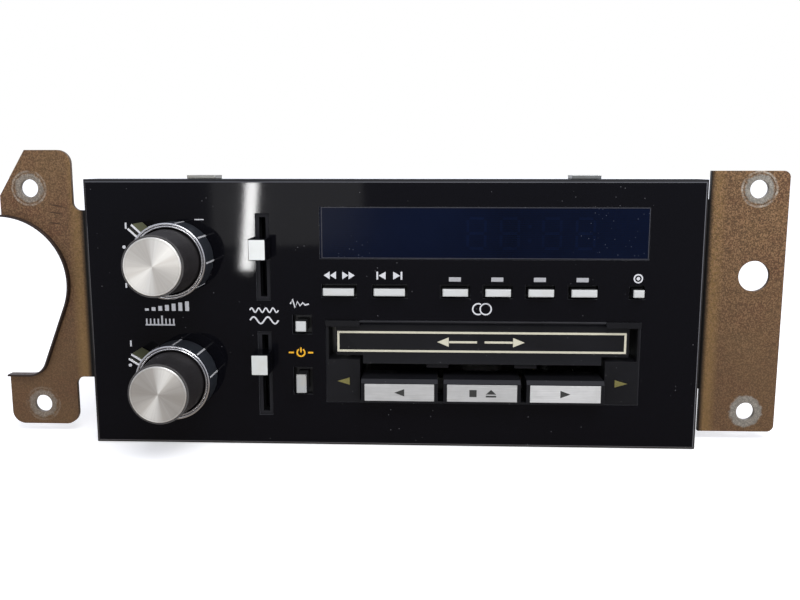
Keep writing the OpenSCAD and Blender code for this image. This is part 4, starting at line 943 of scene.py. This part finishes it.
class RADIO_OT_knobs(bpy.types.Operator):
    """Finish the two knobs with their caps and pointer rings"""

    bl_idname = "radio.knobs"
    bl_label = "Knobs and pointer rings"

    def execute(self, context):
        colours = context.scene.radio_colours
        trim = turned_metal("Bright trim", colours.chrome, 0.17)
        # Each knob: its name, its pointer ring, the seed of its cap's streaks, and the lean and half width in
        # degrees of the cap's painted highlight.
        for knob, ring, seed, lean, half in (
            ("volume", "balance", 0.3, 62, 34), ("tune", "fader", 2.6, 73, 20),
        ):
            skirt = knurled_skirt("Knob skirt " + knob, colours.knob, knob + "_knob")
            dress(skirt, [knob + "_knob"], 0.18 * MM)
            cap = spun_metal("Spun cap " + knob, colours.cap, knob + "_knob_cap", seed, lean, half)
            dress(cap, [knob + "_knob_cap"], 0.2 * MM)
            satin = pointer_ring("Pointer ring " + ring, colours, ring + "_ring", knob + "_knob")
            dress(satin, [ring + "_ring"], 0.06 * MM)
            trim_ring(ring + "_trim", ring + "_ring", knob + "_knob", ring, trim)
        nickel = turned_metal("Nickel-plated shaft", (0.66, 0.65, 0.62))
        dress(nickel, ["volume_shaft", "tune_shaft", "control_nuts"], 0.1 * MM)
        return {"FINISHED"}


class RADIO_OT_sliders(bpy.types.Operator):
    """Finish the tone sliders and add their white faces"""

    bl_idname = "radio.sliders"
    bl_label = "Tone sliders"

    def execute(self, context):
        colours = context.scene.radio_colours
        gloss = gloss_moulding("Slider black", colours.fascia, context.scene.radio_wear)
        rise, sink, edge, corner = 0.16 * MM, 0.02 * MM, 0.05 * MM, 0.2
        # The bass face, lower down, is painted darker than the treble face: painted shade where less light falls,
        # besides more soil.
        for name, shade, soiled in (("treble", 1.0, 0.12), ("bass", 0.8, 0.3)):
            ivory = pale_moulding("Face of " + name, scaled(colours.slider, shade), soiled=soiled)
            dress(gloss, [name + "_slider"], 0.1 * MM)
            x, z, width, height, face = front_face(name + "_slider")
            shape = [round_bar(x, z, width + 0.05, height + 0.04, corner)]
            thin_piece(name + "_face", shape, face, name, ivory, rise, sink, edge)
        return {"FINISHED"}


class RADIO_OT_keys(bpy.types.Operator):
    """Finish the push keys"""

    bl_idname = "radio.keys"
    bl_label = "Push keys"

    def execute(self, context):
        base = context.scene.radio_colours.key
        cap_depth = 0.35 * MM
        # The power key, lower down, is painted darker: painted shade where less light falls, besides more soil.
        for name, keys, shade, soiled, edge in (
            ("Row key", ROW_KEYS, 1.0, 0.22, 0.12 * MM),
            ("Square key", ["noise_filter_button"], 1.0, 0.3, 0.2 * MM),
            ("Handled and shaded key", ["power_button"], 0.68, 0.5, 0.3 * MM),
        ):
            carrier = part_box(keys[0])[0].y + cap_depth
            dress(pale_moulding(name, scaled(base, shade), soiled=soiled, carrier=carrier), keys, edge)
        return {"FINISHED"}


class RADIO_OT_cassette_front(bpy.types.Operator):
    """Finish the cassette surround, door and transport keys, and print their marks"""

    bl_idname = "radio.cassette_front"
    bl_label = "Cassette front"

    def execute(self, context):
        scene = context.scene
        colours = scene.radio_colours
        satin = satin_moulding("Satin black", colours.satin)
        buttons = ["reverse_button", "eject_button", "forward_button"]
        dress(satin, ["cassette_surround", "cassette_door", *buttons], scene.radio_wear.edge)
        # The forward plate on the right is painted brighter than the other two: painted light from the right.
        for plate, shade in (("reverse_plate", 0.9), ("eject_plate", 0.9), ("forward_plate", 1.12)):
            dress(brushed_plate("Foil of " + plate, scaled(colours.plate, shade)), [plate], 0.08 * MM)
        amber = satin_moulding("Olive amber lens", colours.arrow, 1.3, 0.4, 0.008)
        dress(amber, ["direction_lenses"], 0.06 * MM)
        self.print_plates()
        self.print_door(colours.gold_ink, scene.radio_print.door_line / MM)
        return {"FINISHED"}

    def print_plates(self):
        """Dark signs for backward play, stop with eject, and forward play."""
        ink = printed_ink("Dark print", tone(52, 52, 50), 0.3)
        for key in ("reverse", "eject", "forward"):
            x, z, _, _, face = front_face(key + "_plate")
            peak = [(x + 1.1, z - 0.25), (x + 4.1, z - 0.25), (x + 2.6, z + 1.15)]
            signs = {
                "reverse": [arrow_head(x + 1.45, z, -2.9, 2.2)],
                "eject": [bar(x - 2.6, z, 2.1, 2.1), peak, bar(x + 2.6, z - 0.85, 3.0, 0.5)],
                "forward": [arrow_head(x - 1.45, z, 2.9, 2.2)],
            }
            print_on(key + "_sign", signs[key], face, key + "_key", ink)

    def print_door(self, gold_ink, line):
        """Gold line round the door, with an arrow each way for the two directions of play."""
        gold = printed_ink("Gold print", gold_ink, 0.2)
        low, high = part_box("cassette_door")
        face = 2 * JOINTS["door_swing"]["pos_m"][1] - high.y
        x = ((low.x + high.x) / 2 - PANEL.x) / MM - 0.25
        z, width, height, shaft = 31.6, 84.4, 6.2, 0.62
        print_on("door_outline", border(x, z, width, height, line), face, "door", gold)
        arrows = []
        for way in (-1, 1):
            arrows += [arrow_head(x + way * 9.4, z, way * 3.4, 2.8), bar(x + way * 5.2, z, 8.2, shaft)]
        print_on("door_arrows", arrows, face, "door", gold)


class RADIO_OT_deck(bpy.types.Operator):
    """Finish the tape deck inside the case"""

    bl_idname = "radio.deck"
    bl_label = "Tape deck"

    def execute(self, context):
        zinc = scaled(context.scene.radio_colours.zinc, 0.9)
        sheet = plated_sheet("Deck sheet", zinc, stained=0.25, along=(2400, 50, 50))
        dress(sheet, ["deck_frame", "cassette_carriage", "head_bridge"], 0.12 * MM)
        brass = turned_metal("Turned brass", (0.6, 0.42, 0.16), 0.25)
        dress(brass, ["flywheel_front", "flywheel_rear", "motor_pulley"], 0.15 * MM)
        can = plated_sheet("Motor can", (0.5, 0.51, 0.5), stained=0.2, along=(60, 60, 2000))
        dress(can, ["deck_motor"], 0.3 * MM)
        dress(turned_metal("Polished head", (0.74, 0.74, 0.74), 0.12), ["tape_head"], 0.15 * MM)
        rubber = satin_moulding("Belt rubber", (0.02, 0.02, 0.02), 1.6, 0.62, 0.02)
        dress(rubber, ["drive_belt"], 0.05 * MM)
        tyre = satin_moulding("Roller rubber", (0.03, 0.03, 0.034), 1.5, 0.55, 0.02)
        dress(tyre, ["pinch_roller_front", "pinch_roller_rear"], 0.15 * MM)
        acetal = pale_moulding("White acetal", (0.7, 0.68, 0.62))
        dress(acetal, ["reel_spindle_front", "reel_spindle_rear"], 0.12 * MM)
        return {"FINISHED"}


class RADIO_OT_electronics(bpy.types.Operator):
    """Finish the boards, switches, controls and tuner inside the case"""

    bl_idname = "radio.electronics"
    bl_label = "Boards and controls"

    def execute(self, context):
        dress(circuit_board("Green board", (0.02, 0.1, 0.035), (0.05, 0.2, 0.07)), ["front_board"], 0.08 * MM)
        dress(circuit_board("Brown board", (0.2, 0.13, 0.05), (0.3, 0.2, 0.09)), ["main_board"], 0.2 * MM)
        black = satin_moulding("Switch black", (0.025, 0.025, 0.027), 1.6)
        dress(black, ["key_switches"], 0.12 * MM)
        tin = plated_sheet("Tinned steel", (0.6, 0.61, 0.6), (0.45, 0.45, 0.43), 0.4, (400, 400, 400), 0.3)
        dress(tin, ["tuner_module", "volume_control", "tune_control"], 0.15 * MM)
        felt = satin_moulding("Slide dust cover", (0.006, 0.006, 0.007), 1.4, 0.8, 0.03)
        dress(felt, ["slide_controls"], 0.15 * MM)
        return {"FINISHED"}


class RADIO_OT_marks(bpy.types.Operator):
    """Print plain signs beside the controls on the fascia"""

    bl_idname = "radio.marks"
    bl_label = "Fascia marks"

    def execute(self, context):
        colours = context.scene.radio_colours
        white = printed_ink("White print", colours.white_ink)
        for name, outlines in self.white_marks().items():
            print_on("mark_" + name, outlines, PANEL.y, "case", white)
        grey = printed_ink("Grey print", colours.grey_ink, 0.3)
        presets = [bar(18.35 + 12.2 * i, 50.3, 3.45, 1.25) for i in range(4)]
        print_on("mark_presets", presets, PANEL.y, "case", grey)
        amber = printed_ink("Amber print", colours.amber_ink, 0.2)
        x, z = -26.75, 28.3
        power = [arc(x, z, 1.35, 0.45, 122, 418), bar(x, z + 0.8, 0.45, 1.5)]
        power += [bar(x + side * 2.85, z, 1.5, 0.5) for side in (-1, 1)]
        print_on("mark_power", power, PANEL.y, "case", amber)
        return {"FINISHED"}

    def white_marks(self):
        """Outlines of the white signs, by the control that each belongs to."""
        heights = [0.7 + 0.36 * i for i in range(7)]
        places = [-72.4 + 1.15 * i for i in range(8)]
        needle = places.pop(4)
        ticks = [bar(x, 37.3, 0.42, 1.7) for x in places]
        level = 42.8
        fading = [(-29.0 + 0.75 * i, level + 1.45 * 0.72**i * (-1) ** i) for i in range(6)]
        row, tall, seek_x = 51.3, 2.3, -0.6
        scan, seek = [], []
        for way, x in ((-1, -16.1), (1, -14.3)):
            scan += [arrow_head(x + way * step, row, way * 1.75, tall) for step in (0, 1.85)]
            seek.append(arrow_head(seek_x + way * 1.1, row, way * 2.0, tall))
            seek.append(bar(seek_x + way * 3.5, row, 0.5, tall))
        stereo = {"z": 41.65, "r": 1.8, "line": 0.4}
        return {
            "volume": [bar(-72.2 + 2 * i, 40.5 + h / 2, 1.15, h) for i, h in enumerate(heights)],
            "tuning": ticks + [bar(needle, 37.75, 0.5, 2.6), bar(-68.4, 36.3, 8.8, 0.4)],
            "treble": [wave(-37.4, 40.9, 8.4, 1.3, 4, 0.4)],
            "bass": [wave(-37.4, 37.9, 8.4, 2.0, 2, 0.45)],
            "noise_filter": [stroke([(-29.6, level), *fading, (-24.2, level)], 0.45)],
            "scan": scan,
            "seek": seek,
            "set": hoop(70.75, 50.8, 1.35, 0.4) + [disc(70.75, 50.8, 0.5)],
            "stereo_left": [arc(25.2, **stereo, start=62, end=298)],
            "stereo_right": hoop(27.35, **stereo),
            "balance": [
                bar(-77.3, 65.5, 0.5, 1.8), disc(-78.1, 59.3, 0.5), bar(-78, 48, 0.5, 1.4),
                bar(-55.7, 67.35, 2.7, 0.32),
            ],
            "fader": [bar(-77.5, 30.6, 0.5, 1.8), disc(-78, 24, 0.5)],
        }


class RADIO_OT_stage(bpy.types.Operator):
    """Set the floor, the light and the camera"""

    bl_idname = "radio.stage"
    bl_label = "Studio"

    def execute(self, context):
        scene = context.scene
        stage = scene.radio_stage
        scene.view_settings.view_transform = "Standard"
        self.lay_floor()
        self.light_room(scene, stage)
        over_front = Vector((0.11, -0.34, 0.4))
        fascia = Vector((0, -0.08, 0.045))
        self.add_light("Softbox", over_front, fascia, (0.34, 0.24), stage.key_power)
        strip = Vector((-0.171, -0.677, 0.0235))
        ahead = strip + Vector((0.16, 1, 0.02))
        panel = strip + Vector((0.038, -0.004, 0.022))
        self.add_light("Panel", panel, ahead, (0.15, 0.085), stage.panel_power)
        self.add_light("Strip", strip, ahead, (0.0115, 0.09), stage.strip_power, math.radians(-5))
        camera = fit(
            bpy.data.cameras.new("Camera"),
            sensor_fit="HORIZONTAL", sensor_width=36, lens=stage.lens, clip_start=0.01,
        )
        looking = (math.pi / 2 - stage.tilt, 0, stage.turn)
        scene.camera = add_object("Camera", camera, location=stage.camera, rotation_euler=looking)
        return {"FINISHED"}

    def lay_floor(self):
        """Wide pale floor that fades into the white room."""
        sides, radius = 96, 6.0
        turns = [2 * math.pi * side / sides for side in range(sides)]
        mesh = bpy.data.meshes.new("Floor")
        mesh.from_pydata(
            [(radius * math.cos(turn), radius * math.sin(turn), 0) for turn in turns], [], [range(sides)]
        )
        finish = Finish("Pale floor", specular_ior_level=0.1, emission_strength=0.45)
        feed(finish.shader["Emission Color"], (1, 1, 1))
        layers = [(noise(finish.coords, 5.0), (0.92, 0.92, 0.92))]
        mesh.materials.append(finish.painted((0.88, 0.88, 0.88), layers, 0.8))
        floor = add_object("Floor", mesh, visible_glossy=False)

    def light_room(self, scene, stage):
        """White room: bright behind the object, softer as a source of light, and warm and dim below."""
        world = bpy.data.worlds.new("White room")
        scene.world = world
        world.use_nodes = True
        tree = world.node_tree
        background = tree.nodes["Background"].inputs
        seen = signal(tree, "Is Camera Ray", "LightPath")
        way = axes(signal(tree, "Generated", "TexCoord"))
        behind = remap(way["Y"], -0.75, 0.3, stage.front, stage.back)
        above = remap(way["Z"], 0.3, 0.95, stage.front, stage.back)
        right = remap(way["X"], 0.55, 0.95, stage.front, stage.back)
        glow = maths("MAXIMUM", maths("MAXIMUM", behind, above), right)
        low = remap(way["Z"], -0.35, 0.08)
        tint = mixed(low, (0.8, 0.7, 0.62), (0.95, 0.98, 1.1))
        feed(background["Color"], mixed(seen, tint, (1, 1, 1)))
        feed(background["Strength"], between(seen, glow * between(low, 0.8, 1.15), 1.0))

    def add_light(self, name, place_at, look_at, size, power, roll=0.0):
        """Rectangular soft light that looks at a point, turned about its own axis by a roll."""
        lamp = bpy.data.lights.new(name, "AREA")
        fit(lamp, shape="RECTANGLE", size=size[0], size_y=size[1], energy=power)
        aim = (look_at - place_at).to_track_quat("-Z", "Y") @ Quaternion((0, 0, 1), roll)
        add_object(name, lamp, location=place_at, rotation_euler=aim.to_euler())


class RADIO_PT_sidebar(bpy.types.Panel):
    """Sizes, colours and steps of the radio"""

    bl_idname = "RADIO_PT_sidebar"
    bl_label = "Car cassette radio"
    bl_space_type = "VIEW_3D"
    bl_region_type = "UI"
    bl_category = "Radio"

    def draw(self, context):
        for group in SETTINGS:
            box = self.layout.box()
            settings = getattr(context.scene, group)
            for name in settings.__annotations__:
                box.prop(settings, name)
        for step in STEPS:
            self.layout.operator(step.bl_idname)


SETTINGS = {
    "radio_colours": RadioColours,
    "radio_print": RadioPrint,
    "radio_wear": RadioWear,
    "radio_stage": RadioStage,
}
STEPS = [
    RADIO_OT_stage, RADIO_OT_effects, RADIO_OT_case, RADIO_OT_brackets, RADIO_OT_fascia, RADIO_OT_display,
    RADIO_OT_knobs, RADIO_OT_sliders, RADIO_OT_keys, RADIO_OT_cassette_front, RADIO_OT_deck,
    RADIO_OT_electronics, RADIO_OT_marks,
]


def register():
    for name, group in SETTINGS.items():
        bpy.utils.register_class(group)
        setattr(bpy.types.Scene, name, bpy.props.PointerProperty(type=group))
    for step in STEPS:
        bpy.utils.register_class(step)
    bpy.utils.register_class(RADIO_PT_sidebar)


def unregister():
    bpy.utils.unregister_class(RADIO_PT_sidebar)
    for step in reversed(STEPS):
        bpy.utils.unregister_class(step)
    for name, group in SETTINGS.items():
        delattr(bpy.types.Scene, name)
        bpy.utils.unregister_class(group)


def main():
    register()
    for step in STEPS:
        family, action = step.bl_idname.split(".")
        getattr(getattr(bpy.ops, family), action)()


if __name__ == "__main__":
    main()
